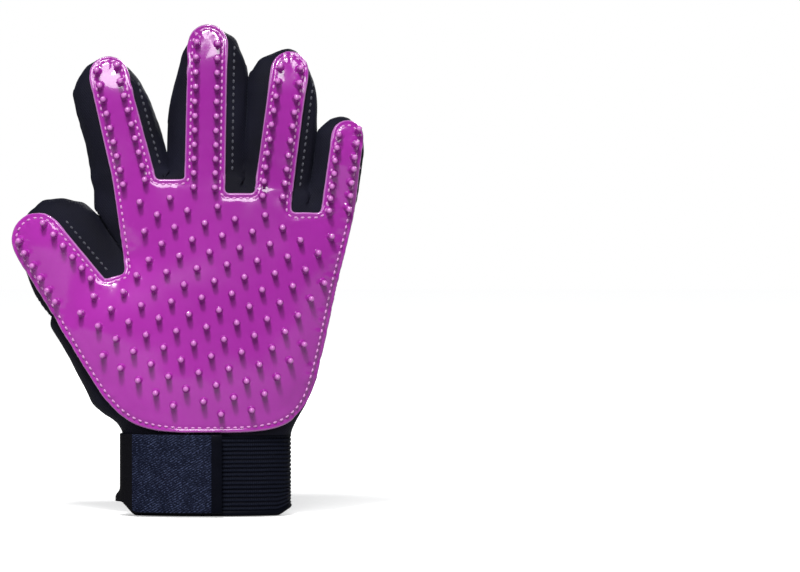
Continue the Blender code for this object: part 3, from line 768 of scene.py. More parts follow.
def smooth_normals(verts, faces):
    """Vertex normals of a mesh that is about to be split."""
    probe = make_object("probe", verts, faces)
    normals = vertex_normals(probe.data)
    remove(probe)
    return normals


def part_of(verts, faces, normals, values):
    """The points that some faces use, the faces, and the points' normals and values."""
    used = np.unique(np.concatenate([np.array(f) for f in faces]))
    index = np.full(len(verts), -1)
    index[used] = np.arange(len(used))
    return verts[used], [tuple(index[i] for i in f) for f in faces], normals[used], values[used]


def facing(flat, faces):
    """Triangles of (x, z) points, each turned to face -Y."""
    a, b, c = (flat[faces[:, k]] for k in range(3))
    clockwise = (b - a)[:, 0] * (c - a)[:, 1] < (b - a)[:, 1] * (c - a)[:, 0]
    return np.where(clockwise[:, None], faces[:, ::-1], faces)


def front_of(tree, x, z):
    """Where a line along Y meets a surface's front, and the surface's normal there, turned to -Y."""
    hit, normal, _, _ = tree.ray_cast(Vector((x, -0.1, z)), Vector((0, 1, 0)))
    return hit, -normal if normal.y > 0 else normal


def fan(face):
    """A many-sided face as triangles."""
    return [(face[0], face[k], face[k + 1]) for k in range(1, len(face) - 1)]


def revolve(profile, top, sides):
    """Points and faces of a round pin along -Y, from its foot to its tip."""
    verts = []
    for radius, height in profile:
        for i in range(sides):
            turn = 2 * math.pi * i / sides
            verts.append((radius * math.cos(turn), -height, radius * math.sin(turn)))
    faces = ring_faces(len(profile), sides)
    tip = len(verts)
    verts.append((0, -top, 0))
    last = (len(profile) - 1) * sides
    faces += [(last + i, last + (i + 1) % sides, tip) for i in range(sides)]
    return np.array(verts), faces


def turned(points, direction):
    """Points built along -Y, turned to point in a direction."""
    turn = Vector((0, -1, 0)).rotation_difference(Vector(direction)).to_matrix()
    return points @ np.array(turn).T


def strip_pins(digit):
    """Places of the two rows of pins on a strip, as (x, z)."""
    (start_low, start_high), (low, high), straight = strips[digit.name]
    radius = (high - low) / 2
    first, pitch, count = STRIP_PINS[digit.name]
    spots = []
    for row in range(count):
        along = (first + pitch * row) * MM
        share = min(1.0, along / straight)
        left = start_low + (low - start_low) * share
        right = start_high + (high - start_high) * share
        half = (right - left) / 2
        sideways = half - THUMB_ROW_INSET if digit.name == "thumb" else half * ROW_SHARE
        if along > straight:
            inset = THUMB_ROW_INSET if digit.name == "thumb" else 2.2 * MM
            sideways = min(sideways, math.sqrt(max(0.0, radius ** 2 - (along - straight) ** 2)) - inset)
        stagger = pitch * MM * 0.25 if digit.name == "little" else 0.0
        for side in (-1, 1):
            spot = at(digit, (left + right) / 2 + side * sideways, 0, along + side * stagger)
            spots.append((spot.x, spot.z))
    return spots


def palm_pins(outline, taken):
    """The slanting lattice of pins over the palm, as (x, z), where the strips' rows leave room."""
    step, cross = np.array(PALM_PIN_STEPS)
    spots = np.array([np.array(PALM_PIN_START) + step * i + cross * j
                      for i in range(-14, 15) for j in range(-14, 15)])
    gaps = np.linalg.norm(spots[:, None] - np.array(taken)[None], axis=2).min(1)
    margins = np.where(spots[:, 0] < 0, PIN_EDGE_MARGINS["thumb side"], PIN_EDGE_MARGINS["other side"])
    margins = np.where(spots[:, 1] > PIN_EDGE_HEIGHT, PIN_EDGE_MARGINS["above"], margins)
    keep = (distance_inside(spots, outline) > margins) & (region_of(spots) < 0) & (gaps > PIN_SPACING)
    return [tuple(p) for p in spots[keep]]


def stitch_mesh(points, directions, radius, sides=8):
    """A thread through points that rises out of the pad and back into it."""
    verts = []
    for i, p in enumerate(points):
        run = points[min(i + 1, len(points) - 1)] - points[max(i - 1, 0)]
        run /= np.linalg.norm(run)
        up = directions[i]
        side = np.cross(run, up)
        side /= np.linalg.norm(side)
        up = np.cross(side, run)
        size = radius * (0.55 if i in (0, len(points) - 1) else 1.0)
        for k in range(sides):
            turn = 2 * math.pi * k / sides
            verts.append(p + (side * math.cos(turn) + up * math.sin(turn)) * size)
    faces = ring_faces(len(points), sides)
    faces.append(tuple(reversed(range(sides))))
    last = (len(points) - 1) * sides
    faces.append(tuple(range(last, last + sides)))
    return np.array(verts), faces


def add_stitches(name, line, tree, material, rise=STITCH_RISE, regions_at=None):
    """A row of stitches along a line of (x, z), a seam step apart, on a surface; one piece a region."""
    regions_at = regions_at or region_of
    threads = {}
    per_stitch = int(round(STITCH_PITCH / SEAM_STEP))
    for start in range(0, len(line) - per_stitch, per_stitch):
        spots = line[start:start + int(STITCH_LENGTH / SEAM_STEP) + 1][::2]
        regions = regions_at(spots)
        if len(set(regions)) > 1 or len(spots) < 4 or any(depth_hit(tree, *spot) is None for spot in spots):
            continue
        points, ups = [], []
        for k, spot in enumerate(spots):
            hit, normal = front_of(tree, *spot)
            lift = -0.25 * MM + rise * math.sin(math.pi * k / (len(spots) - 1)) ** 0.6
            points.append(np.array(hit + normal * lift))
            ups.append(np.array(normal))
        threads.setdefault(regions[0], Pile()).add(*stitch_mesh(points, ups, STITCH_RADIUS))
    for region, pile in threads.items():
        piece = pile.build(f"{name}_{region_name(region)}", material)
        carry(piece, region)


class Pile:
    """Meshes gathered into one, with their normals and one value for each point."""

    def __init__(self):
        self.verts, self.faces, self.normals, self.values, self.count = [], [], [], [], 0

    def add(self, verts, faces, normals=None, values=0.0):
        verts = np.asarray(verts)
        self.verts.append(verts)
        self.faces += [tuple(int(i) + self.count for i in f) for f in faces]
        self.normals.append(smooth_normals(verts, faces) if normals is None else normals)
        self.values.append(np.broadcast_to(np.asarray(values, float), (len(verts),)))
        self.count += len(verts)

    def build(self, name, material, attribute="edge"):
        obj = make_object(name, np.concatenate(self.verts), self.faces, material)
        layer = obj.data.attributes.new(attribute, "FLOAT", "POINT")
        layer.data.foreach_set("value", np.concatenate(self.values).astype(np.float32))
        obj.data.normals_split_custom_set_from_vertices([tuple(n) for n in np.concatenate(self.normals)])
        return obj


def carry(piece, region):
    """Rides the piece on the hand, or else bakes its transform into its points."""
    if region < 0:
        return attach(piece, "hand")
    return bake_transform(piece)


# ---------------------------------------------------------------- the cuff and its strap


def on_cuff(turn, out, height):
    """A point at a turn round the cuff, a distance out from its face and a height, where its corners lift."""
    half_x, half_y = cuff_half
    c, s = math.cos(math.radians(turn)), math.sin(math.radians(turn))
    normal = Vector((c / half_x, s / half_y, 0)).normalized()
    point = Vector((half_x * c, half_y * s, 0)) + normal * out
    side = smoothstep((abs(point.x) - 33.5 * MM) / (8 * MM))
    lift = CORNER_LIFT[0 if point.x < 0 else 1] * float(side) * max(0.0, 1 - height / (15 * MM))
    point.z = height + lift
    return point


def arc_lengths(turns):
    """Distance round the cuff's face to each of the turns."""
    points = np.array([on_cuff(t, 0, 20 * MM) for t in turns])
    return np.concatenate([[0], np.cumsum(np.linalg.norm(np.diff(points, axis=0), axis=1))])


def rounded(low_out, high_out, low, high, rows=12, radius=0.35 * MM):
    """A closed cross-section of (out, height): up the outer face and down the inner one."""
    radius = min(radius, (high_out - low_out) / 2.01)
    points = []
    for out, sign, start, end in ((high_out - radius, 1, low, high), (low_out + radius, -1, high, low)):
        corner = [(out + sign * radius * math.cos(a), sign * radius * (1 - math.sin(a)))
                  for a in map(math.radians, (90, 45, 0))]
        points += [(place, start + rise) for place, rise in corner]
        straight = end - start - 2 * sign * radius
        points += [(corner[-1][0], start + sign * radius + straight * k / rows) for k in range(1, rows)]
        points += [(place, end - rise) for place, rise in reversed(corner)]
    return points


def band(name, turns, section_at, material, closed=False):
    """A band through cross-sections at turns round the cuff; its UV is its length and height in metres."""
    lengths = arc_lengths(turns)
    rings, places = [], []
    for turn, length in zip(turns, lengths):
        profile = section_at(turn)
        rings.append([on_cuff(turn, out, height) for out, height in profile])
        places += [(length, height) for _, height in profile]
    count = len(rings[0])
    faces = ring_faces(len(rings), count, closed)
    if not closed:
        faces += [tuple(range(count)), tuple(range((len(rings) - 1) * count, len(rings) * count))]
    obj = make_object(name, [p for ring in rings for p in ring], faces, material)
    turn_faces_out(obj)
    layer = obj.data.uv_layers.new(name="along")
    for loop, uv in zip(obj.data.loops, layer.data):
        uv.uv = places[loop.vertex_index]
    obj.data.set_sharp_from_angle(angle=math.radians(50))
    return obj


def turns_between(start, end, step=1.5):
    count = max(2, int(abs(end - start) / step))
    return [start + (end - start) * k / count for k in range(count + 1)]


def ribs(turn):
    """The elastic's cross-section: rolled ribs outside, a plain wall inside."""
    low, high = ELASTIC_HEIGHTS
    rows = int(round((high - low) / RIB_PITCH)) * 8
    sway = noise.noise(Vector((turn / 9, 3, 1))) * 0.16 * MM
    profile = []
    for k in range(rows + 1):
        height = low + (high - low) * k / rows
        phase = math.pi * (height - low) / RIB_PITCH
        bulge = abs(math.sin(phase)) ** 0.7 * RIB_HEIGHT
        wobble = noise.noise(Vector((turn / 4.0, height / (2 * MM), 9))) * 0.12 * MM
        profile.append((bulge - 0.35 * MM + wobble, height + sway))
    profile += [(-ELASTIC_WALL, high - (high - low) * k / 12) for k in range(13)]
    return profile


def webbing_out(turn):
    """How far out the webbing runs: along the cuff, out round its fold, and over the closure."""
    share = float(smoothstep((turn - FOLD_START) / (TAB_START - FOLD_START)))
    return ANCHOR_OUT + (TAB_OUT - ANCHOR_OUT) * share


def webbing_section(turn):
    """The webbing's cross-section, whose lower corner flares out at the fold."""
    half, middle = WEBBING_THICKNESS / 2, webbing_out(turn)
    flare = FLAP_OUT * math.exp(-((turn - FLAP_TURN) / FLAP_SPREAD) ** 2)
    profile = rounded(middle - half, middle + half, *STRAP_HEIGHTS, rows=20)
    return [(out + flare * float(smoothstep((12 * MM - height) / (7 * MM))), height)
            for out, height in profile]


def face_section(turn):
    """The cloth face's cross-section, a little uneven along the tab."""
    outer = FACE_OUT + noise.noise(Vector((turn / 3, 1, 1))) * 0.08 * MM
    low, high = STRAP_HEIGHTS
    return rounded(FACE_OUT - FACE_THICKNESS, outer, low + 0.2 * MM, high - 0.1 * MM, 16, 0.25 * MM)


def border_section(turn):
    """The cross-section of the binding on the tab's end, which is thickest at its middle."""
    start, end = BORDER_TURNS
    outer = (4.8 + 0.25 * math.sin(math.pi * (turn - start) / (end - start))) * MM
    low, high = STRAP_HEIGHTS
    return rounded(2.5 * MM, outer, low - 0.1 * MM, high + 0.1 * MM, 10, 0.7 * MM)


def hooks():
    """Rows of small bent hooks on the tab's inner face, as one pile of thread-like tubes."""
    pile = Pile()
    turns = turns_between(HOOK_TURNS[0] + 1.5, HOOK_TURNS[1] - 1.5, 0.25)
    lengths = arc_lengths(turns)
    low, high = STRAP_HEIGHTS[0] + 1.6 * MM, STRAP_HEIGHTS[1] - 1.6 * MM
    line = ((0.0, 0.0), (0.0, 0.35), (0.12, 0.62), (0.38, 0.72), (0.58, 0.55))
    for row in range(int(lengths[-1] / HOOK_PITCH)):
        turn = float(np.interp((row + 0.5) * HOOK_PITCH, lengths, turns))
        for k in range(int((high - low) / HOOK_PITCH)):
            height = low + (k + 0.5 * (row % 2)) * HOOK_PITCH
            points = [np.array(on_cuff(turn, HOOK_FOOT - rise * MM, height + lean * MM))
                      for lean, rise in line]
            side = np.array(on_cuff(turn + 1, 0, 0) - on_cuff(turn, 0, 0))
            side /= np.linalg.norm(side)
            pile.add(*stitch_mesh(points, [side] * len(points), 0.13 * MM, 5))
    return pile


def skin_regions_at(spots):
    return skin_regions(np.stack([spots[:, 0], np.zeros(len(spots)), spots[:, 1]], axis=1))


def add_sleeve_seams():
    """Grey stitches in the fabric beside the strips."""
    for digit in digits:
        if digit.name == "little":
            continue
        (_, start_high), (_, high), straight = strips[digit.name]
        ends = [at(digit, start_high + SEAM_GAP, 0, 3 * MM), at(digit, high + SEAM_GAP, 0, straight + 2 * MM)]
        count = int((ends[1] - ends[0]).length / SEAM_STEP)
        line = np.array([tuple(ends[0].lerp(ends[1], k / count).xz) for k in range(count)])
        add_stitches("seam_stitches_" + digit.name, line, skin_tree, grey_thread,
                     SEAM_RISE, skin_regions_at)


def build_cuff():
    low, high = STRAP_HEIGHTS
    around = turns_between(90, 450, 1.8)[:-1]
    elastic = band("cuff_elastic", around, ribs, elastic_material(), closed=True)
    hem = band("cuff_hem", around, lambda t: rounded(-3.0 * MM, 0.5 * MM, 0.0, 2.9 * MM, 4, 1.1 * MM),
               binding, closed=True)
    tape = band("seam_tape", around,
                lambda t: rounded(-2.0 * MM, 0.25 * MM, 38.0 * MM, 40.2 * MM, 3, 0.6 * MM),
                binding, closed=True)
    webbing = band("strap_webbing", turns_between(ANCHOR_START, FACE_TURNS[1]),
                   webbing_section, webbing_material())
    face = band("tab_face", turns_between(*FACE_TURNS, 1.2), face_section, tab_material())
    border = band("tab_end_border", turns_between(*BORDER_TURNS, 0.6), border_section, binding)
    pile = band("loop_pile", turns_between(*LOOP_TURNS),
                lambda t: rounded(0.35 * MM, 1.35 * MM, low + 0.4 * MM, high - 0.4 * MM, 30, 0.4 * MM),
                pile_material())
    tape_out = (HOOK_FOOT - 0.05 * MM, TAB_OUT - WEBBING_THICKNESS / 2 + 0.03 * MM)
    backing = band("hook_tape", turns_between(*HOOK_TURNS),
                   lambda t: rounded(*tape_out, low + 0.6 * MM, high - 0.6 * MM, radius=0.1 * MM), binding)
    hook_pile = hooks().build("hooks", binding)
    for piece, node, slot in (
            (elastic, "cuff_band", "ribbed_elastic"), (hem, "cuff_hem_binding", "edge_binding"),
            (tape, "wrist_seam_tape", "edge_binding"), (pile, "loop_patch", "loop_pile")):
        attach(piece, "hand")
        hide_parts(node)
    for piece, node, slot in (
            (border, "tab_end_binding", "edge_binding"), (backing, "hook_field", "hook_tape"),
            (face, None, "hook_tape"), (hook_pile, None, "hook_tape")):
        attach(piece, "strap")
        if node:
            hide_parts(node)
    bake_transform(webbing)
    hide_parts("strap_anchor", "strap_tab")


# ---------------------------------------------------------------- materials


class Graph:
    """A Principled material, and short names for adding nodes to it."""

    def __init__(self, name, **sockets):
        self.material = bpy.data.materials.new(name)
        self.material.use_nodes = True
        self.nodes, self.links = self.material.node_tree.nodes, self.material.node_tree.links
        self.shader = self.nodes["Principled BSDF"]
        for key, value in sockets.items():
            self.put(self.shader, key.replace("_", " "), value)

    def put(self, node, socket, value):
        entry = node.inputs[socket]
        if isinstance(value, bpy.types.NodeSocket):
            self.links.new(value, entry)
        elif entry.type == "RGBA" and len(value) == 3:
            entry.default_value = (*value, 1)
        else:
            entry.default_value = value

    def add(self, kind, out=0, settings=None, **sockets):
        node = self.nodes.new("ShaderNode" + kind)
        for key, value in (settings or {}).items():
            setattr(node, key, value)
        for key, value in sockets.items():
            key = int(key[1:]) if key[0] == "_" else key.replace("_", " ")
            self.put(node, key, value)
        return node.outputs[out]

    def math(self, operation, a, b=0.0, clamp=False):
        return self.add("Math", settings={"operation": operation, "use_clamp": clamp}, _0=a, _1=b)

    def ramp(self, value, low, high, start=0.0, end=1.0):
        """value from low..high carried to start..end, and held there outside it."""
        return self.add("MapRange", Value=value, From_Min=low, From_Max=high, To_Min=start, To_Max=end)

    def mix(self, share, a, b):
        return self.add("Mix", out=2, settings={"data_type": "RGBA"}, _0=share, _6=a, _7=b)

    def place(self, scale=(1, 1, 1), turn=(0, 0, 0), uv=False):
        """Coordinates in metres, scaled after a turn: the object's own, or along a band."""
        start = self.add("TexCoord", out=2 if uv else 3)
        return self.add("Mapping", Vector=start, Rotation=turn, Scale=scale)

    def noise(self, place, scale, detail=2.0, roughness=0.5):
        return self.add("TexNoise", Vector=place, Scale=scale, Detail=detail, Roughness=roughness)

    def wave(self, place, direction, scale, **sockets):
        settings = {"bands_direction": direction}
        return self.add("TexWave", out=1, settings=settings, Vector=place, Scale=scale, **sockets)

    def bump(self, height, distance, strength=1.0):
        return self.add("Bump", Height=height, Distance=distance, Strength=strength)

    def finish(self, color=None, roughness=None, normal=None):
        for key, value in (("Base Color", color), ("Roughness", roughness), ("Normal", normal)):
            if value is not None:
                self.put(self.shader, key, value)
        return self.material


def knit_material():
    g = Graph("black_knit", Sheen_Weight=0.035, Sheen_Roughness=0.4, Specular_IOR_Level=0.14)
    g.put(g.shader, "Sheen Tint", (0.55, 0.62, 0.95))
    place = g.place()
    patches = g.noise(place, 45.0, 3.0)
    color = g.mix(g.ramp(patches, 0.35, 0.7), (0.0032, 0.0033, 0.0080), (0.0075, 0.0078, 0.0180))
    slant = [g.wave(g.place(turn=(0, math.radians(a), 0)), "X", 330.0, Distortion=0.6, Detail_Scale=2.0)
             for a in (38, -38)]
    weave = g.math("MAXIMUM", slant[0], slant[1])
    grain = g.noise(place, 2600.0, 2.0)
    height = g.math("ADD", weave, g.math("MULTIPLY", grain, 0.5))
    # Painted shade: the knit is painted darker in the grooves between its slanting ribs.
    color = g.mix(g.ramp(weave, 0.1, 0.9, 0.5, 0.0), color, (0.003, 0.0031, 0.007))
    return g.finish(color, g.ramp(patches, 0.3, 0.8, 0.66, 0.82), g.bump(height, 0.00022, 0.7))


def rubber_material():
    g = Graph("magenta_rubber", Specular_IOR_Level=0.28, Subsurface_Weight=0.05, Subsurface_Scale=0.002,
              Coat_Weight=0.8, Coat_Roughness=0.07)
    g.put(g.shader, "Subsurface Radius", (1.0, 0.3, 0.9))
    place = g.place()
    x, z = (g.add("SeparateXYZ", out=k, Vector=place) for k in (0, 2))
    # Painted light: the rubber is painted brighter toward the lower thumb side and toward the little finger's
    # side, as a broad pool of light; the cloud is random tone.
    toward_thumb = g.ramp(g.math("ADD", x, g.math("MULTIPLY", z, 0.55)), 0.0, 0.125, 1.0, 0.0)
    cloud = g.ramp(g.noise(place, 26.0, 2.0), 0.3, 0.7, -0.15, 0.15)
    toward_little = g.ramp(x, 0.020, 0.060, 0.0, 0.5)
    share = g.math("ADD", g.math("ADD", toward_thumb, toward_little), cloud, clamp=True)
    color = g.mix(share, (0.270, 0.0150, 0.262), (0.390, 0.0260, 0.372))
    edge = g.add("Attribute", out=2, settings={"attribute_name": "edge"})
    # Painted highlight: the pad's rim, within a millimetre of its edge, is painted pale, as light caught on
    # its rounded edge.
    color = g.mix(g.ramp(edge, 0.0002, 0.0010, 0.7, 0.0), color, (0.72, 0.36, 0.72))
    # Painted highlight: the upper part of each pin, its head, is painted paler, as light caught on its top.
    color = g.mix(g.ramp(edge, 0.0236, 0.0252, 0.0, 0.5), color, (0.84, 0.32, 0.78))
    fine = g.noise(place, 900.0, 3.0)
    soft = g.noise(place, 130.0, 2.0)
    return g.finish(color, g.ramp(soft, 0.3, 0.7, 0.20, 0.26), g.bump(fine, 0.00002, 0.15))


def elastic_material():
    g = Graph("ribbed_elastic", Specular_IOR_Level=0.06)
    place = g.place(uv=True)
    yarn = g.wave(place, "X", 310.0, Distortion=0.8, Detail_Scale=3.0)
    grain = g.noise(place, 1700.0, 3.0)
    height = g.add("SeparateXYZ", out=1, Vector=g.add("TexCoord", out=2))
    turn = g.math("MULTIPLY", g.math("SUBTRACT", height, ELASTIC_HEIGHTS[0]), math.pi / RIB_PITCH)
    crest = g.math("POWER", g.math("ABSOLUTE", g.math("SINE", turn)), 3.0)
    color = g.mix(grain, (0.0012, 0.0014, 0.0040), (0.0030, 0.0036, 0.0090))
    # Painted highlight: the crests of the ribs are painted lighter, as light caught on them; the grain sets
    # how much.
    lit = g.math("MULTIPLY", crest, g.ramp(grain, 0.3, 0.7, 0.25, 0.8))
    color = g.mix(lit, color, (0.0105, 0.0135, 0.0270))
    height = g.math("ADD", yarn, g.math("MULTIPLY", grain, 0.7))
    return g.finish(color, 0.62, g.bump(height, 0.00018, 0.8))


def webbing_material():
    g = Graph("strap_webbing", Specular_IOR_Level=0.07)
    place = g.place(uv=True)
    weave = g.math("MULTIPLY", g.wave(place, "Y", 330.0), g.wave(place, "X", 420.0))
    color = g.mix(g.noise(place, 600.0, 3.0), (0.0022, 0.0022, 0.0036), (0.0052, 0.0050, 0.0072))
    return g.finish(color, 0.6, g.bump(weave, 0.0002, 0.8))


def tab_material():
    """Dark woven cloth with pale flecks in rows that rise to the right."""
    g = Graph("tab_cloth", Specular_IOR_Level=0.08)
    slant = (0, 0, math.radians(-32))
    place = g.place(uv=True, turn=slant)
    rows = g.wave(place, "Y", 290.0, Distortion=1.4, Detail=2.0, Detail_Scale=2.0)
    flecks = g.noise(g.place(uv=True, turn=slant, scale=(0.55, 1.35, 1)), 1500.0, 2.0, 0.6)
    broad = g.noise(place, 130.0, 2.0)
    patchy = g.math("ADD", flecks, g.math("MULTIPLY", broad, 0.25))
    light = g.math("MULTIPLY", rows, g.ramp(patchy, 0.60, 0.78))
    color = g.mix(g.noise(place, 420.0, 2.0), (0.0018, 0.0026, 0.0092), (0.0062, 0.0088, 0.0250))
    color = g.mix(g.math("MULTIPLY", light, 0.62), color, (0.095, 0.120, 0.240))
    height = g.math("ADD", g.math("MULTIPLY", rows, 0.6), flecks)
    return g.finish(color, 0.7, g.bump(height, 0.0003, 0.9))


def binding_material():
    g = Graph("edge_binding", Specular_IOR_Level=0.05)
    place = g.place()
    grain = g.noise(place, 1500.0, 3.0)
    color = g.mix(g.noise(place, 200.0, 2.0), (0.0008, 0.0011, 0.0032), (0.0026, 0.0032, 0.0075))
    return g.finish(color, g.ramp(grain, 0.2, 0.8, 0.45, 0.6), g.bump(grain, 0.00012, 0.6))


def pile_material():
    g = Graph("loop_pile", Sheen_Weight=0.35, Sheen_Roughness=0.6, Specular_IOR_Level=0.15)
    place = g.place()
    tuft = g.add("TexVoronoi", Vector=place, Scale=1400.0)
    # Painted shade: the pile is painted darker in the gaps between its raised tufts.
    color = g.mix(g.ramp(tuft, 0.1, 0.7), (0.020, 0.021, 0.028), (0.004, 0.004, 0.006))
    return g.finish(color, 0.9, g.bump(tuft, -0.0004, 0.9))


def thread_material(name, color, dark):
    g = Graph(name, Sheen_Weight=0.3, Roughness=0.6)
    place = g.place()
    twist = g.wave(place, "DIAGONAL", 900.0)
    # Painted shade: the thread is painted darker in the grooves of its twist.
    return g.finish(g.mix(twist, dark, color), None, g.bump(twist, 0.00008))


# ---------------------------------------------------------------- start of the making

digits = [read_digit(name) for name in DIGIT_NAMES]
half_widths = {d.name: half_width(d) for d in digits}
strips = {d.name: strip_edges(d) for d in digits}

knit = knit_material()
rubber = rubber_material()
binding = binding_material()
# Each thread's second colour is its painted shade in the twist's grooves.
pale_thread = thread_material("pale_thread", (0.86, 0.38, 0.80), (0.60, 0.19, 0.55))
grey_thread = thread_material("grey_thread", (0.062, 0.066, 0.092), (0.028, 0.030, 0.045))
cuff_low, cuff_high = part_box("cuff_band")
cuff_half = ((cuff_high[0] - cuff_low[0]) / 2, (cuff_high[1] - cuff_low[1]) / 2)

# Skin
skin = merge_solids([palm_solid()] + [digit_solid(d) for d in digits])
set_coordinates(skin.data, relax(coordinates(skin.data), neighbours(skin.data), SKIN_ROUNDS))
set_coordinates(skin.data, soften_knuckles(coordinates(skin.data), neighbours(skin.data)))
cut_skin(skin)
skin_points = coordinates(skin.data)
centres = np.array([p.center for p in skin.data.polygons])
skin_labels = skin_regions(centres)
set_coordinates(skin.data, fill_out(skin_points))
set_coordinates(skin.data, fold(coordinates(skin.data), vertex_normals(skin.data)))
skin_points, skin_normals = coordinates(skin.data), vertex_normals(skin.data)
skin_faces = [tuple(p.vertices) for p in skin.data.polygons]
remove(skin)
skin_tree = BVHTree.FromPolygons([tuple(p) for p in skin_points], skin_faces)

for region in np.unique(skin_labels):
    faces = [f for f, label in zip(skin_faces, skin_labels) if label == region]
    points, faces, normals, _ = part_of(skin_points, faces, skin_normals, skin_points[:, 0])
    quads = [f for f in faces if len(f) == 4]
    triangles = [f for f in faces if len(f) == 3] + [t for f in faces if len(f) > 4 for t in fan(f)]
    count = len(points)
    pile = Pile()
    inner = points - normals * SKIN_THICKNESS
    both = quads + triangles + [tuple(i + count for i in reversed(f)) for f in quads + triangles]
    ends = {(f[k], f[(k + 1) % len(f)]) for f in quads + triangles for k in range(len(f))}
    both += [(b, a, a + count, b + count) for a, b in ends if (b, a) not in ends]
    pile.add(np.concatenate([points, inner]), both, np.concatenate([normals, -normals]))
    piece = pile.build("knit_" + region_name(region), knit)
    carry(piece, region)
    if region < 0:
        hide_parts("palm_panel", "back_panel", "thumb_side_panel", "little_side_panel")
    else:
        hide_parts(region_name(region) + "_palm_panel", region_name(region) + "_back_panel")

# Pad
outline = evenly(round_corners(cut_long(pad_outline(), 6.5 * MM)), EDGE_STEP)
flat, triangles = flat_mesh(outline)
edge_depth = np.maximum(0.0, distance_inside(flat, outline))
base, push = lay_pad(flat, triangles, skin_tree)
pad_top = base + push * pad_profile(edge_depth)[:, None]
triangles = facing(flat, triangles)
face_regions = region_of(flat[triangles].mean(axis=1))
pad_tree = BVHTree.FromPolygons([tuple(p) for p in pad_top], [tuple(map(int, t)) for t in triangles])
verts, faces, source = shell(pad_top, base, triangles)
normals = smooth_normals(verts, faces)
# The pad's top carries its distance in from the edge, capped at 10 mm, for the rubber's painted rim
# highlight.
values = np.concatenate([np.minimum(edge_depth, 0.01), np.zeros(len(base))])
pads = {}
for region in np.unique(face_regions):
    pads[region] = Pile()
    own = [f for f, k in zip(faces, source) if face_regions[k] == region]
    pads[region].add(*part_of(verts, own, normals, values))

pin_verts, pin_faces = revolve(PIN_PROFILE, PIN_TOP, PIN_SIDES)
pin_normals = smooth_normals(pin_verts, pin_faces)
# Each pin carries 0.02 m plus its height, for the rubber's painted highlight on the pin heads.
pin_values = 0.02 - pin_verts[:, 1]
pin_spots = [spot for digit in digits for spot in strip_pins(digit)]
pin_spots += palm_pins(outline, pin_spots)
for spot, region in zip(pin_spots, region_of(np.array(pin_spots))):
    hit, normal = front_of(pad_tree, *spot)
    direction = (normal * 0.7 + Vector((0, -0.3, 0))).normalized()
    placed = turned(pin_verts, direction) + np.array(hit)
    pads[region].add(placed, pin_faces, turned(pin_normals, direction), pin_values)

for region, pile in pads.items():
    piece = pile.build("rubber_pad_" + region_name(region), rubber)
    carry(piece, region)
    if region < 0:
        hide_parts("palm_pad", "thumb_root_pad", "little_root_pad")
    else:
        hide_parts(region_name(region) + "_pad")

# Stitches round the pad
seam = outline + inward(outline) * GROOVE_PLACE
seam = evenly([tuple(p) for p in seam[distance_inside(seam, outline) > GROOVE_PLACE - 0.15 * MM]], SEAM_STEP)
add_stitches("pad_stitches", seam, pad_tree, pale_thread)
add_sleeve_seams()
build_cuff()


# ---------------------------------------------------------------- floor, light and camera

PHOTO_CENTRE = (92.8 * MM, 110.1 * MM)
PHOTO_WIDTH = 382.9 * MM
LENS = 240.0
SENSOR = 36.0
WORLD_LIGHT = 0.09
FLOOR_GLOW = 0.46
UNSEEN_GLOW = 0.2
FLOOR_REACH, FLOOR_HEIGHT = 6.0, -0.4 * MM
CAMERA_TILT = math.radians(1.0)
CAMERA_DEPTH = -12 * MM


def panel_light(name, place, target, size, power, color=(1, 1, 1)):
    data = bpy.data.lights.new(name, "AREA")
    data.shape, data.size, data.size_y = "RECTANGLE", size[0], size[1]
    data.energy, data.color = power, color
    light = bpy.data.objects.new(name, data)
    bpy.context.scene.collection.objects.link(light)
    light.location = place
    light.rotation_euler = (Vector(target) - Vector(place)).to_track_quat("-Z", "Y").to_euler()
    return light


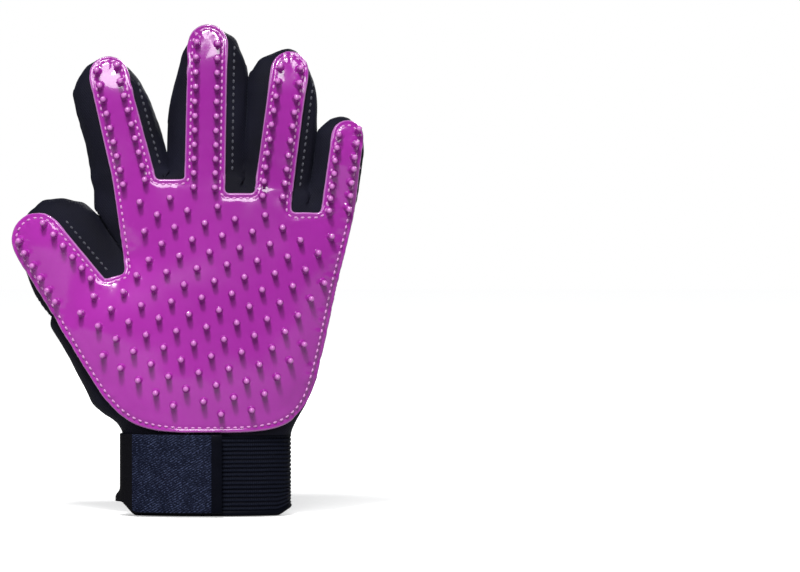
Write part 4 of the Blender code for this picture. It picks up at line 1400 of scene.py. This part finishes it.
def build_stage():
    """A plain pale floor, under a white sky; the camera sees both as brighter than the object does."""
    g = Graph("backdrop", Roughness=0.9, Specular_IOR_Level=0.0)
    g.put(g.shader, "Emission Color", (1, 1, 1))
    away = g.add("VectorMath", out=1, settings={"operation": "LENGTH"}, _0=g.place())
    seen = g.add("LightPath")
    glow, dimmed = g.ramp(away, 0.35, 1.4, FLOOR_GLOW, 0.9), g.ramp(seen, 0.0, 1.0, UNSEEN_GLOW, 1.0)
    g.put(g.shader, "Emission Strength", g.math("MULTIPLY", glow, dimmed))
    corners = [(FLOOR_REACH * x, FLOOR_REACH * y, FLOOR_HEIGHT)
               for x, y in ((-1, -1), (1, -1), (1, 1), (-1, 1))]
    backdrop = g.finish(g.mix(seen, (0.4, 0.4, 0.4), (0.85, 0.85, 0.85)))
    floor = make_object("floor", corners, [(0, 1, 2, 3)], backdrop)
    world = bpy.data.worlds.new("studio")
    bpy.context.scene.world = world
    world.use_nodes = True
    nodes, links = world.node_tree.nodes, world.node_tree.links
    lit, seen = nodes["Background"], nodes.new("ShaderNodeBackground")
    lit.inputs[0].default_value, lit.inputs[1].default_value = (0.92, 0.95, 1, 1), WORLD_LIGHT
    seen.inputs[0].default_value, seen.inputs[1].default_value = (1, 1, 1, 1), 1.0
    mix = nodes.new("ShaderNodeMixShader")
    links.new(nodes.new("ShaderNodeLightPath").outputs["Is Camera Ray"], mix.inputs[0])
    links.new(lit.outputs[0], mix.inputs[1])
    links.new(seen.outputs[0], mix.inputs[2])
    links.new(mix.outputs[0], nodes["World Output"].inputs[0])


def build_camera():
    data = bpy.data.cameras.new("camera")
    data.lens, data.sensor_width = LENS, SENSOR
    data.clip_end = 50.0
    camera = bpy.data.objects.new("camera", data)
    bpy.context.scene.collection.objects.link(camera)
    distance = PHOTO_WIDTH * LENS / SENSOR
    aim = Vector((PHOTO_CENTRE[0], CAMERA_DEPTH, PHOTO_CENTRE[1]))
    camera.location = aim + Vector((0, -math.cos(CAMERA_TILT), math.sin(CAMERA_TILT))) * distance
    camera.rotation_euler = (aim - camera.location).to_track_quat("-Z", "Y").to_euler()
    bpy.context.scene.camera = camera


build_stage()
build_camera()
panel_light("key", (-0.25, -1.50, 2.05), (0, 0, 0.12), (0.36, 0.36), 43.0)
panel_light("front_top", (0.0, -1.70, 1.35), (0, 0, 0.16), (0.75, 0.95), 25.0)
panel_light("back", (0.9, 1.9, 1.3), (0, 0, 0.12), (1.0, 1.0), 30.0)
bpy.context.scene.view_settings.view_transform = "Standard"
